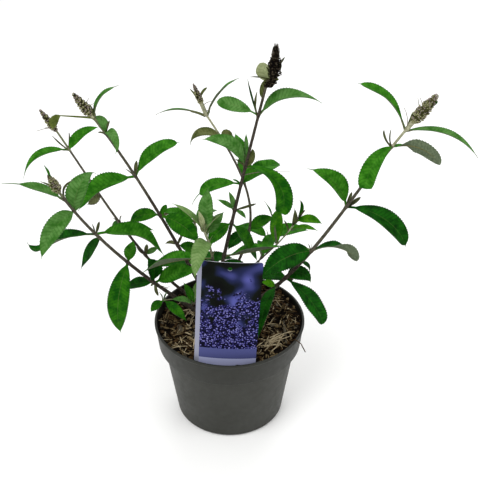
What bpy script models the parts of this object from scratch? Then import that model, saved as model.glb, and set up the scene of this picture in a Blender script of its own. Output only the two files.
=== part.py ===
"""Young butterfly bush in a two-litre nursery pot, about 0.5 m wide and 0.45 m tall.

Metres, +Z up. The origin is the centre of the pot's flat underside. +X is the plant's right
and -Y its front, where the plant label stands. Every stem is one smooth path from the short
woody stump: its first part is a stub fused to the stump, the next a bare bough, and the rest
a leafy shoot with its twigs, leaves and flower spike fused into one solid.
"""

import bisect
import math
import random
from collections import namedtuple

import bmesh
import bpy
from mathutils import Matrix, Vector
from mathutils.bvhtree import BVHTree

MM = 0.001
GAP = 0.3 * MM

# Pot: a thin moulded bucket with a tall collar round its rim
POT_HEIGHT = 125 * MM
RIM_RADIUS = 85 * MM
RIM_BEAD = 2.5 * MM
COLLAR_HEIGHT = 30 * MM
COLLAR_FOOT_RADIUS = 81.3 * MM
BODY_TOP_RADIUS = 75.5 * MM
BASE_RADIUS = 62.3 * MM
BASE_CHAMFER = 2.5 * MM
WALL = 1.6 * MM
POT_SIDES = 48
DRAIN_HOLES = 6
DRAIN_RADIUS = 5 * MM
DRAIN_RING = 45 * MM

# Potting bark: filled to just under the rim, level round the stump
SOIL_TOP = 115.7 * MM
SOIL_EDGE_DROP = 4 * MM
SOIL_LEVEL_RADIUS = 58 * MM

# Plant label: a bowed plastic card standing just inside the front rim
LABEL_WIDTH = 66 * MM
LABEL_TOP = 249.5 * MM
LABEL_FOOT = 100 * MM
LABEL_THICKNESS = 0.8 * MM
LABEL_BOW = 2.8 * MM
LABEL_CENTRE = Vector((-4.5, -71.8, 116)) * MM
LABEL_LEAN = math.radians(3)

# Stump: short, flared at the foot, cut flat where it meets the bark
STUMP_FOOT = Vector((-17, 3, 116)) * MM
STUMP_HEIGHT = 28 * MM
STUMP_LEAN = (-0.03, 0.02)
STUMP_RADII = ((0.0, 9.5), (0.08, 7.8), (0.25, 6.6), (0.6, 6.0), (0.9, 5.2), (1.0, 3.4))
STUB_LENGTH = 15 * MM
STUB_ROOT_DEPTH = 7 * MM
PATH_STEPS = 200
LIMB_STEP = 13 * MM

# Leaves: a thin blade of kite section on a short stalk, its edges raised beside the midrib
LEAF_THICKNESS = 0.9 * MM
LEAF_FOLD = 0.16
LEAF_OUTLINE = ((0.0, 0.10), (0.10, 0.11), (0.26, 0.74), (0.46, 1.0), (0.74, 0.68), (1.0, 0.04))
BUD_LEAF_OUTLINE = ((0.0, 0.3), (0.45, 1.0), (1.0, 0.08))
BUD_LEAF_LENGTHS = (8 * MM, 14 * MM)
CLEARANCE = 0.5 * MM

# Flower spikes: whorls of buds, with side clusters that are many on the one heavy spike
SPIKE_WHORLS = 4
SPIKE_KNOBS = 12
HEAVY_GIRTH = 10
SEED = 7

# A leaf: share along its stem, heading from +X towards +Y and rise of its chord in degrees,
# length and width in mm, then how far it bends down along its length and rolls, in degrees
Leaf = namedtuple("Leaf", "share heading rise length width bend roll")

# A stem: the four control points of its path and the diameters at its two ends, in mm, the
# share where its bough ends and its leaves begin, and its flower spike: tip from the top, girth
Stem = namedtuple("Stem", "path thick bough_end spike leaves")

STEMS = {
    "low_left": Stem(
        ((-26, -2, 127), (-100, -2, 184), (-142, -38, 263), (-158, -72, 329)),
        (4.8, 2.6),
        0.24,
        ((-10, -2, 27), 7.5),
        (
            Leaf(0.30, -10, 15, 49, 15, 25, 25),
            Leaf(0.30, 160, -25, 45, 14, 40, -35),
            Leaf(0.47, -120, -70, 84, 24, 25, -30),
            Leaf(0.47, 80, 30, 27, 13, 20, 5),
            Leaf(0.67, 165, -60, 52, 15, 15, -50),
            Leaf(0.70, -10, -15, 79, 22, 70, 15),
            Leaf(0.70, 170, -15, 80, 17, 50, -10),
            Leaf(0.87, -135, -40, 61, 21, 80, -35),
            Leaf(0.87, 50, 45, 39, 19, 20, 35),
            Leaf(0.95, -175, 20, 61, 14, 35, -10),
            Leaf(0.95, 15, 35, 43, 13, 60, 0),
        ),
    ),
    "far_left": Stem(
        ((-24, 12, 132), (-90, 22, 160), (-140, 44, 260), (-186, 70, 324)),
        (3.8, 1.8),
        0.30,
        ((-15, 0, 25), 7),
        (
            Leaf(0.36, -120, -60, 26, 9, 10, -15),
            Leaf(0.36, 45, 5, 20, 7, 20, 25),
            Leaf(0.54, 10, -15, 39, 12, 40, 20),
            Leaf(0.54, 135, -45, 60, 18, 60, -50),
            Leaf(0.72, -150, -55, 24, 9, 40, -45),
            Leaf(0.72, 45, 5, 35, 12, 40, 45),
            Leaf(0.91, -175, -30, 68, 16, 65, -20),
            Leaf(0.91, 25, 30, 46, 13, 55, 35),
        ),
    ),
    "mid_left": Stem(
        ((-22, 4, 142), (-53, 8, 213), (-93, 10, 304), (-134, 10, 368)),
        (4.4, 2.6),
        0.27,
        ((-18, 2, 26), 9),
        (
            Leaf(0.33, 30, -35, 34, 12, 30, 60),
            Leaf(0.33, 160, 10, 30, 10, 40, -20),
            Leaf(0.49, -20, -30, 53, 21, 60, 45),
            Leaf(0.49, 175, -20, 40, 14, 80, -55),
            Leaf(0.70, 0, 40, 64, 17, 55, 40),
            Leaf(0.70, -160, -25, 73, 21, 60, -20),
            Leaf(0.92, -45, -45, 26, 11, 20, 15),
            Leaf(0.92, 120, 15, 31, 13, 20, -15),
            Leaf(1.00, 180, -20, 51, 13, 100, 15),
            Leaf(1.00, 0, 50, 45, 13, 50, 5),
        ),
    ),
    "tall_back": Stem(
        ((-12, 14, 140), (22, 30, 213), (53, 66, 220), (-25, 90, 334)),
        (3.2, 1.8),
        0.32,
        ((-13, 0, 37), 7),
        (
            Leaf(0.38, 20, 20, 34, 14, 60, 40),
            Leaf(0.38, -155, -35, 34, 14, 60, -40),
            Leaf(0.62, 90, 10, 52, 16, 50, 10),
            Leaf(0.86, 180, -10, 40, 13, 80, -20),
            Leaf(0.86, 60, -25, 36, 12, 60, 35),
            Leaf(1.00, 180, 0, 56, 13, 40, 15),
            Leaf(1.00, 0, 50, 57, 14, 25, 5),
        ),
    ),
    "tall_centre": Stem(
        ((-17, 2, 146), (-2, 2, 230), (20, 2, 331), (37, 0, 406)),
        (4.6, 2.8),
        0.21,
        ((8, -1, 43), 13),
        (
            Leaf(0.25, -10, 15, 63, 18, 20, -10),
            Leaf(0.40, -150, -35, 38, 15, 50, -40),
            Leaf(0.40, -20, -55, 54, 17, 50, 25),
            Leaf(0.46, 180, 75, 24, 7, 10, -65),
            Leaf(0.46, 180, 35, 23, 7, 25, -35),
            Leaf(0.46, -25, -30, 16, 6, 60, 20),
            Leaf(0.58, 180, -10, 43, 14, 60, -40),
            Leaf(0.58, 70, 5, 46, 15, 60, 20),
            Leaf(0.66, 180, 35, 60, 18, 95, -25),
            Leaf(0.66, -25, -45, 82, 20, 125, 15),
            Leaf(0.66, 95, 15, 50, 17, 60, 0),
            Leaf(0.88, 0, 12, 72, 19, 95, 15),
            Leaf(0.88, 170, 15, 45, 15, 30, -55),
        ),
    ),
    "right": Stem(
        ((-8, -1, 130), (74, -2, 157), (115, -22, 286), (169, -36, 377)),
        (5.0, 2.6),
        0.20,
        ((25, -1, 36), 9),
        (
            Leaf(0.24, -165, 25, 20, 9, 20, -45),
            Leaf(0.24, -115, -55, 62, 15, 20, 0),
            Leaf(0.29, -25, -45, 67, 16, 25, 0),
            Leaf(0.29, 0, -15, 32, 14, 40, 45),
            Leaf(0.44, -160, -26, 60, 26, 30, -45),
            Leaf(0.44, 0, -10, 55, 15, 70, 5),
            Leaf(0.66, 180, 45, 66, 18, 80, -45),
            Leaf(0.66, -5, -35, 86, 19, 70, 30),
            Leaf(0.93, -135, -31, 58, 23, 65, -25),
            Leaf(0.93, 0, -20, 54, 16, 50, 25),
            Leaf(1.00, 180, 45, 72, 15, 50, -10),
            Leaf(1.00, -5, -20, 80, 17, 60, 0),
        ),
    ),
    "right_back": Stem(
        ((-10, 10, 138), (12, 22, 177), (53, 42, 184), (76, 55, 221)),
        (2.6, 1.4),
        0.45,
        None,
        (
            Leaf(0.55, 70, 10, 44, 14, 50, 20),
            Leaf(0.73, 120, 80, 40, 13, 15, -20),
            Leaf(0.73, 105, 62, 50, 10, -10, 30),
            Leaf(0.98, 0, -5, 30, 9, 40, 30),
            Leaf(0.98, -25, -10, 26, 8, 30, 10),
            Leaf(0.98, 40, 70, 26, 6, 5, 0),
            Leaf(0.98, 170, 60, 22, 7, 10, -20),
        ),
    ),
    "young_front": Stem(
        ((-20, -8, 136), (-14, -20, 180), (-12, -38, 232), (-24, -48, 271)),
        (3.0, 2.2),
        0.70,
        None,
        (
            Leaf(0.87, -110, -20, 58, 17, 125, -15),
            Leaf(0.80, 165, -20, 88, 17, 35, -5),
            Leaf(1.00, 175, 45, 43, 10, 30, 0),
            Leaf(0.95, 80, 75, 45, 13, 10, -15),
            Leaf(1.00, 5, 30, 60, 11, 40, -5),
            Leaf(0.95, 50, 30, 32, 12, 20, 25),
            Leaf(1.00, 150, 75, 30, 8, 10, -30),
        ),
    ),
    "low_front": Stem(
        ((-26, -10, 124), (-30, -13, 158), (-48, -14, 164), (-72, -16, 161)),
        (2.4, 1.4),
        0.36,
        None,
        (
            Leaf(0.50, -150, 30, 31, 9, 30, -15),
            Leaf(0.50, 145, 60, 27, 9, 20, -25),
            Leaf(0.50, 60, 40, 34, 12, 40, 20),
            Leaf(1.00, -35, -25, 35, 14, 30, 30),
            Leaf(1.00, -155, -35, 20, 10, 40, -30),
        ),
    ),
    "back_left": Stem(
        ((-22, 14, 134), (-34, 34, 160), (-40, 56, 182), (-40, 76, 206)),
        (3.0, 1.6),
        0.40,
        None,
        (
            Leaf(0.50, 190, 0, 50, 17, 50, -20),
            Leaf(0.50, 20, -5, 44, 16, 50, 20),
            Leaf(0.76, 110, -15, 58, 18, 60, -10),
            Leaf(0.98, 170, 15, 46, 15, 60, -20),
            Leaf(0.98, 60, -10, 52, 17, 60, 10),
        ),
    ),
    "back_right": Stem(
        ((-10, 14, 128), (10, 30, 138), (36, 56, 156), (46, 80, 182)),
        (3.0, 1.6),
        0.40,
        None,
        (
            Leaf(0.50, -20, 5, 50, 18, 50, 20),
            Leaf(0.50, 150, 10, 40, 15, 50, -20),
            Leaf(0.76, 80, -20, 60, 19, 60, 10),
            Leaf(0.98, 20, 0, 54, 18, 60, 20),
            Leaf(0.98, 150, 5, 46, 16, 60, -10),
        ),
    ),
}


def clear_scene():
    for obj in list(bpy.data.objects):
        bpy.data.objects.remove(obj, do_unlink=True)


def new_collection(name):
    collection = bpy.data.collections.new(name)
    bpy.context.scene.collection.children.link(collection)
    return collection


def new_material(name, colour, roughness):
    material = bpy.data.materials.new(name)
    material.use_nodes = True
    shader = material.node_tree.nodes["Principled BSDF"]
    shader.inputs["Base Color"].default_value = (*colour, 1.0)
    shader.inputs["Roughness"].default_value = roughness
    return material


def add_mesh(name, mesh, collection, material=None):
    obj = bpy.data.objects.new(name, mesh)
    collection.objects.link(obj)
    if material:
        mesh.materials.clear()
        mesh.materials.append(material)
    return obj


def mesh_of(name, work):
    """A mesh datablock from a bmesh, with its faces pointing out."""
    bmesh.ops.recalc_face_normals(work, faces=work.faces)
    mesh = bpy.data.meshes.new(name)
    work.to_mesh(mesh)
    work.free()
    return mesh


def applied(obj):
    """Replaces an object's mesh by what its modifiers make of it."""
    graph = bpy.context.evaluated_depsgraph_get()
    mesh = bpy.data.meshes.new_from_object(obj.evaluated_get(graph))
    obj.modifiers.clear()
    obj.data = mesh
    return obj


def turned(name, profile, sides, collection, material=None):
    """A profile of (radius, height) points turned about Z by a Screw modifier."""
    work = bmesh.new()
    corners = [work.verts.new((radius, 0, height)) for radius, height in profile]
    for first, second in zip(corners, corners[1:]):
        work.edges.new((first, second))
    mesh = bpy.data.meshes.new(name)
    work.to_mesh(mesh)
    work.free()
    obj = add_mesh(name, mesh, collection, material)
    screw = obj.modifiers.new("Turn", "SCREW")
    screw.steps = sides
    screw.render_steps = sides
    screw.use_merge_vertices = True
    screw.merge_threshold = 0.00005
    return applied(obj)


def cut(obj, cutter, solver="EXACT"):
    """Takes the cutter's shape out of the object."""
    boolean = obj.modifiers.new("Cut", "BOOLEAN")
    boolean.operation = "DIFFERENCE"
    boolean.solver = solver
    boolean.object = cutter
    cutter.hide_render = True
    cutter.display_type = "WIRE"
    return applied(obj)


def fused(obj, others):
    """One Boolean union of the object with a collection of others, which are then removed."""
    pieces = bpy.data.collections.new("pieces")
    bpy.context.scene.collection.children.link(pieces)
    for other in others:
        for home in list(other.users_collection):
            home.objects.unlink(other)
        pieces.objects.link(other)
    boolean = obj.modifiers.new("Fuse", "BOOLEAN")
    boolean.operation = "UNION"
    boolean.solver = "EXACT"
    boolean.operand_type = "COLLECTION"
    boolean.collection = pieces
    applied(obj)
    for other in others:
        bpy.data.objects.remove(other, do_unlink=True)
    bpy.data.collections.remove(pieces)
    return obj


def path_of(stem):
    """A stem's path as fine points on its cubic curve, with the length reached at each."""
    knots = [Vector(point) * MM for point in stem.path]
    curve, lengths = [], [0.0]
    for index in range(PATH_STEPS + 1):
        t = index / PATH_STEPS
        weights = ((1 - t) ** 3, 3 * t * (1 - t) ** 2, 3 * t * t * (1 - t), t**3)
        curve.append(sum((knot * weight for knot, weight in zip(knots, weights)), Vector()))
    for first, second in zip(curve, curve[1:]):
        lengths.append(lengths[-1] + (second - first).length)
    return curve, lengths


PATHS = {stem.path: path_of(stem) for stem in STEMS.values()}


def path_length(stem):
    return PATHS[stem.path][1][-1]


def path_points(stem, start, end):
    """Points of a stem's path, with their radii, between two lengths from its foot."""
    curve, lengths = PATHS[stem.path]
    count = max(2, math.ceil((end - start) / LIMB_STEP) + 1)
    found = []
    for index in range(count):
        wanted = start + (end - start) * index / (count - 1)
        low = min(max(bisect.bisect(lengths, wanted) - 1, 0), PATH_STEPS - 1)
        part_way = (wanted - lengths[low]) / (lengths[low + 1] - lengths[low])
        share = wanted / lengths[-1]
        radius = (stem.thick[0] * (1 - share) + stem.thick[1] * share) / 2 * MM
        found.append((curve[low].lerp(curve[low + 1], part_way), radius))
    return found


def stem_top(stem):
    return path_points(stem, 0, path_length(stem))[-1]


def limb(name, points, collection, sides=6):
    """A round tapering limb: a curve with filled caps, made a mesh with its caps welded."""
    curve = bpy.data.curves.new(name, "CURVE")
    curve.dimensions = "3D"
    curve.bevel_depth = 1.0
    curve.bevel_resolution = (sides - 4) // 2
    curve.use_fill_caps = True
    spline = curve.splines.new("POLY")
    spline.points.add(len(points) - 1)
    for knot, (place, radius) in zip(spline.points, points):
        knot.co = (*place, 1.0)
        knot.radius = radius
    guide = bpy.data.objects.new(name, curve)
    collection.objects.link(guide)
    graph = bpy.context.evaluated_depsgraph_get()
    mesh = bpy.data.meshes.new_from_object(guide.evaluated_get(graph))
    work = bmesh.new()
    work.from_mesh(mesh)
    bmesh.ops.remove_doubles(work, verts=work.verts, dist=0.00001)
    bpy.data.objects.remove(guide, do_unlink=True)
    return add_mesh(name, mesh_of(name, work), collection)


def leaf_solid(name, base, leaf, outline, collection, grow=0.0):
    """A leaf as one closed blade: kite sections set along an arc that bends downwards."""
    heading, rise = math.radians(leaf.heading), math.radians(leaf.rise)
    bend, roll = math.radians(leaf.bend), math.radians(leaf.roll)
    flat = Vector((math.cos(heading), math.sin(heading), 0))
    across = Vector((-math.sin(heading), math.cos(heading), 0))
    length, half_width = leaf.length * MM, leaf.width * MM / 2
    work = bmesh.new()
    rings = []
    place, reached = base.copy(), 0.0
    for share, spread in outline:
        slope = rise + bend * (0.5 - (share + reached) / 2)
        place = place + (flat * math.cos(slope) + Vector((0, 0, math.sin(slope)))) * (share - reached) * length
        reached = share
        slope = rise + bend * (0.5 - share)
        along = flat * math.cos(slope) + Vector((0, 0, math.sin(slope)))
        side = Matrix.Rotation(roll, 3, along) @ across
        top = along.cross(side)
        half, thick = half_width * spread + grow, LEAF_THICKNESS * min(1, 0.45 + spread) / 2 + grow
        rise_of_edge = half * 2 * LEAF_FOLD * min(1, spread)
        corners = (
            place + side * half + top * rise_of_edge,
            place + top * thick,
            place - side * half + top * rise_of_edge,
            place - top * thick,
        )
        rings.append([work.verts.new(corner) for corner in corners])
    for low, high in zip(rings, rings[1:]):
        for index in range(4):
            after = (index + 1) % 4
            work.faces.new((low[index], low[after], high[after], high[index]))
    work.faces.new(rings[0])
    work.faces.new(rings[-1][::-1])
    bmesh.ops.triangulate(work, faces=work.faces)
    return add_mesh(name, mesh_of(name, work), collection)


def tree_of(obj):
    """The object's faces as a search tree, for tests of what touches what."""
    mesh = obj.data
    corners = [obj.matrix_world @ vertex.co for vertex in mesh.vertices]
    return BVHTree.FromPolygons(corners, [tuple(face.vertices) for face in mesh.polygons])


def touches(obj, obstacles, own):
    """The name of the first obstacle, not the object's own, that it touches."""
    tree = tree_of(obj)
    return next((name for name, other in obstacles if name not in own and tree.overlap(other)), None)


def make_pot(parts, cutters):
    rim_inner = RIM_RADIUS - RIM_BEAD
    body_inner = BODY_TOP_RADIUS - WALL
    collar_foot = POT_HEIGHT - COLLAR_HEIGHT
    profile = (
        (0, WALL),
        (BASE_RADIUS - WALL, WALL),
        (body_inner, collar_foot - WALL),
        (COLLAR_FOOT_RADIUS - WALL, collar_foot + WALL),
        (rim_inner, POT_HEIGHT),
        (RIM_RADIUS, POT_HEIGHT),
        (RIM_RADIUS, POT_HEIGHT - RIM_BEAD),
        (RIM_RADIUS - WALL / 2, POT_HEIGHT - RIM_BEAD * 1.4),
        (COLLAR_FOOT_RADIUS, collar_foot),
        (BODY_TOP_RADIUS, collar_foot - WALL / 2),
        (BASE_RADIUS, BASE_CHAMFER),
        (BASE_RADIUS - BASE_CHAMFER, 0),
        (0, 0),
    )
    plastic = new_material("moulded_pot_plastic", (0.062, 0.062, 0.055), 0.55)
    pot = turned("pot", profile, POT_SIDES, parts, plastic)
    for index in range(DRAIN_HOLES):
        angle = 2 * math.pi * (index + 0.5) / DRAIN_HOLES
        work = bmesh.new()
        bmesh.ops.create_cone(
            work, cap_ends=True, segments=12, radius1=DRAIN_RADIUS, radius2=DRAIN_RADIUS, depth=4 * WALL
        )
        place = Vector((math.cos(angle), math.sin(angle), 0)) * DRAIN_RING
        bmesh.ops.translate(work, verts=work.verts, vec=place)
        drill = add_mesh(f"drain_cutter_{index}", mesh_of("drain_cutter", work), cutters)
        cut(pot, drill)
    return pot


def label_card(name, thickness, width, foot, collection, material=None):
    """The bowed card, or with more thickness and width the slot that it stands in."""
    work = bmesh.new()
    bmesh.ops.create_grid(work, x_segments=8, y_segments=1, size=0.5)
    height = LABEL_TOP - foot
    for vertex in work.verts:
        across, up = vertex.co.x * 2, vertex.co.y + 0.5
        vertex.co = (across * width / 2, LABEL_BOW * across**2, foot - LABEL_CENTRE.z + up * height)
    depth_before = sum(vertex.co.y for vertex in work.verts) / len(work.verts)
    work.normal_update()
    bmesh.ops.solidify(work, geom=work.faces[:], thickness=thickness)
    depth_after = sum(vertex.co.y for vertex in work.verts) / len(work.verts)
    bmesh.ops.translate(work, verts=work.verts, vec=(0, depth_before - depth_after, 0))
    bmesh.ops.rotate(
        work, verts=work.verts, cent=(0, 0, 0), matrix=Matrix.Rotation(LABEL_LEAN, 3, "Y")
    )
    bmesh.ops.translate(work, verts=work.verts, vec=LABEL_CENTRE)
    return add_mesh(name, mesh_of(name, work), collection, material)


def make_label(parts):
    card = new_material("printed_label_card", (0.10, 0.10, 0.35), 0.35)
    return label_card("label", LABEL_THICKNESS, LABEL_WIDTH, LABEL_FOOT, parts, card)


def make_soil(parts, cutters):
    """The bark filling: the pot's inner shape, a gap smaller, with the label's slot cut in."""
    collar_foot = POT_HEIGHT - COLLAR_HEIGHT
    body_inner = BODY_TOP_RADIUS - WALL - GAP
    collar_inner = COLLAR_FOOT_RADIUS - WALL - GAP
    slope = (RIM_RADIUS - RIM_BEAD - COLLAR_FOOT_RADIUS + WALL) / (COLLAR_HEIGHT - WALL)
    edge_height = SOIL_TOP - SOIL_EDGE_DROP
    edge = collar_inner + slope * (edge_height - collar_foot - WALL)
    profile = (
        (0, SOIL_TOP),
        (SOIL_LEVEL_RADIUS, SOIL_TOP),
        (edge, edge_height),
        (collar_inner, collar_foot + WALL + GAP),
        (body_inner, collar_foot - WALL + GAP),
        (BASE_RADIUS - WALL - GAP, WALL + GAP),
        (0, WALL + GAP),
    )
    bark = new_material("potting_bark", (0.10, 0.06, 0.035), 0.95)
    soil = turned("soil", profile, POT_SIDES, parts, bark)
    slot = label_card(
        "label_slot_cutter", LABEL_THICKNESS + 2 * GAP, LABEL_WIDTH + 2 * GAP, LABEL_FOOT - GAP, cutters
    )
    return cut(soil, slot)


def make_stump(parts, wood, helpers):
    """The flared stump with the stub of every stem fused on: the bush's woody crown."""
    profile = [(0, 0)]
    profile += [(radius * MM, share * STUMP_HEIGHT) for share, radius in STUMP_RADII]
    profile += [(0, STUMP_HEIGHT)]
    stump = turned("main_stem", profile[::-1], 10, parts, wood)
    for vertex in stump.data.vertices:
        height = vertex.co.z
        vertex.co.x += STUMP_FOOT.x + STUMP_LEAN[0] * height
        vertex.co.y += STUMP_FOOT.y + STUMP_LEAN[1] * height
        vertex.co.z += STUMP_FOOT.z
    stubs = []
    for name, stem in STEMS.items():
        points = path_points(stem, 0, STUB_LENGTH)
        start, radius = points[0]
        lean = (start.z - STUMP_FOOT.z - STUB_ROOT_DEPTH) / STUMP_HEIGHT
        height = max(0.15, min(0.85, lean)) * STUMP_HEIGHT
        root = STUMP_FOOT + Vector((STUMP_LEAN[0] * height, STUMP_LEAN[1] * height, height))
        stubs.append(limb("stub_" + name, [(root, radius * 1.25)] + points, helpers))
    return fused(stump, stubs)


def spike_points(stem):
    """The flower spike beyond the stem's last leaves: whorls that swell, then taper off."""
    offset, girth = stem.spike
    top, radius = stem_top(stem)
    tip = top + Vector(offset) * MM
    points = [(top.lerp(tip, 0.12), radius * 0.9)]
    for index in range(SPIKE_WHORLS * 2):
        share = 0.2 + 0.76 * index / (SPIKE_WHORLS * 2 - 1)
        swell = math.sin(math.pi * min(1, 0.22 + 0.78 * share)) ** 0.8
        notch = 1.0 if index % 2 else 0.72
        points.append((top.lerp(tip, share), girth * MM / 2 * notch * max(0.18, swell)))
    points.append((tip, 0.5 * MM))
    return points


def spike_knobs(name, stem, rng, helpers):
    """Side clusters of small buds that stand out of a heavy spike."""
    offset, girth = stem.spike
    top = stem_top(stem)[0]
    tip = top + Vector(offset) * MM
    axis = (tip - top).normalized()
    side = axis.orthogonal().normalized()
    knobs = []
    count = SPIKE_KNOBS if girth > HEAVY_GIRTH else SPIKE_KNOBS // 3
    for index in range(count):
        share = 0.16 + 0.6 * index / count
        radius = girth * MM * (0.26 - 0.12 * share)
        out = Matrix.Rotation(index * 2.4 + rng.uniform(-0.3, 0.3), 3, axis) @ side
        work = bmesh.new()
        bmesh.ops.create_icosphere(work, subdivisions=1, radius=radius)
        place = top.lerp(tip, share) + out * girth * MM * (0.42 - 0.2 * share)
        bmesh.ops.translate(work, verts=work.verts, vec=place)
        knobs.append(add_mesh(f"knob_{name}_{index}", mesh_of("knob", work), helpers))
    return knobs


def shoot_stem(name, stem, parts):
    """The leafy part's stem, from the bough's tip to the top, with the spike on its end."""
    total = path_length(stem)
    points = path_points(stem, stem.bough_end * total + GAP, total)
    if stem.spike:
        points += spike_points(stem)
    return limb("foliage_" + name, points, parts)


def node_place(stem, share):
    total = path_length(stem)
    return path_points(stem, 0, max(share, 0.01) * total)[-1][0]


def bud_leaves(stem, rng):
    """The pair of small young leaves in the axils at each leaf node."""
    found = []
    shares = sorted({leaf.share for leaf in stem.leaves})
    for share in shares:
        heading = rng.uniform(0, 180)
        for turn in (0, 180):
            length = rng.uniform(*BUD_LEAF_LENGTHS) / MM
            rise = rng.uniform(35, 75)
            found.append(Leaf(share, heading + turn, rise, length, length * 0.28, 15, 0))
    return found


def make_foliage(name, stem, obstacles, rng, helpers, parts, green):
    """Fuses a shoot's leaves to its stem, leaving out any that would touch something else."""
    shoot = parts.objects["foliage_" + name]
    own = {"foliage_" + name}
    pieces = []
    planned = [(leaf, LEAF_OUTLINE) for leaf in stem.leaves]
    planned += [(leaf, BUD_LEAF_OUTLINE) for leaf in bud_leaves(stem, rng)]
    for index, (leaf, outline) in enumerate(planned):
        base = node_place(stem, leaf.share)
        test = leaf_solid("test", base, leaf, outline, helpers, grow=CLEARANCE)
        hit = touches(test, obstacles, own)
        bpy.data.objects.remove(test, do_unlink=True)
        if hit:
            print(f"{name}: leaf {index} at {leaf.share} heading {leaf.heading:.0f} left out, touches {hit}")
            continue
        pieces.append(leaf_solid(f"leaf_{name}_{index}", base, leaf, outline, helpers))
    if stem.spike:
        for knob in spike_knobs(name, stem, rng, helpers):
            if touches(knob, obstacles, own):
                bpy.data.objects.remove(knob, do_unlink=True)
            else:
                pieces.append(knob)
    fused(shoot, pieces)
    shoot.data.materials.clear()
    shoot.data.materials.append(green)
    obstacles[:] = [entry for entry in obstacles if entry[0] not in own]
    obstacles.append((shoot.name, tree_of(shoot)))


def main():
    clear_scene()
    parts = new_collection("butterfly_bush_in_pot")
    cutters = new_collection("cutters")
    helpers = new_collection("helpers")
    wood = new_material("young_bark", (0.105, 0.075, 0.058), 0.8)
    green = new_material("leaf_green", (0.055, 0.14, 0.035), 0.6)

    make_pot(parts, cutters)
    make_soil(parts, cutters)
    make_label(parts)
    make_stump(parts, wood, helpers)
    for name, stem in STEMS.items():
        points = path_points(stem, STUB_LENGTH + GAP, stem.bough_end * path_length(stem))
        bough = limb("bough_" + name, points, parts)
        bough.data.materials.append(wood)
        shoot_stem(name, stem, parts)

    obstacles = [(obj.name, tree_of(obj)) for obj in parts.objects]
    for first, tree in obstacles:
        for second, other in obstacles:
            if first < second and tree.overlap(other):
                print("touching:", first, second)
    rng = random.Random(SEED)
    for name, stem in STEMS.items():
        make_foliage(name, stem, obstacles, rng, helpers, parts, green)
    for obj in parts.objects:
        obj.data.shade_smooth()
        obj.data.set_sharp_from_angle(angle=math.radians(35))
    bpy.data.collections.remove(helpers)


main()
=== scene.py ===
import math
import random

import bmesh
import bpy
from mathutils import Matrix, Vector, noise


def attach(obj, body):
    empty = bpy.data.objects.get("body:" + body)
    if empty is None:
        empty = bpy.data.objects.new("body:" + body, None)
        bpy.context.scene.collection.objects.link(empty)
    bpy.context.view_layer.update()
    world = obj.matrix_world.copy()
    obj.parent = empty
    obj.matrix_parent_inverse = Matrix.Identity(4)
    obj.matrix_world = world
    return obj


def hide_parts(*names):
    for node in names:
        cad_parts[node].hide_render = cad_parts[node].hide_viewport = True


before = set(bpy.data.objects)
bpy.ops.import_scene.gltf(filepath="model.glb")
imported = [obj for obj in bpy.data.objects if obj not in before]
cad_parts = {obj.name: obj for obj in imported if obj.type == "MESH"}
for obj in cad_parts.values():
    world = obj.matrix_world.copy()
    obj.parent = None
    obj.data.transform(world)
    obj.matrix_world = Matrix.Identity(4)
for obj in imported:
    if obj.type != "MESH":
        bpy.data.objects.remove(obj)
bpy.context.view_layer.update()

# Young butterfly bush in a two-litre nursery pot, seen from the front and from above.
# Everything is in metres; the tables below are in millimetres and degrees.
mm = 0.001
up = Vector((0, 0, 1))

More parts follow.
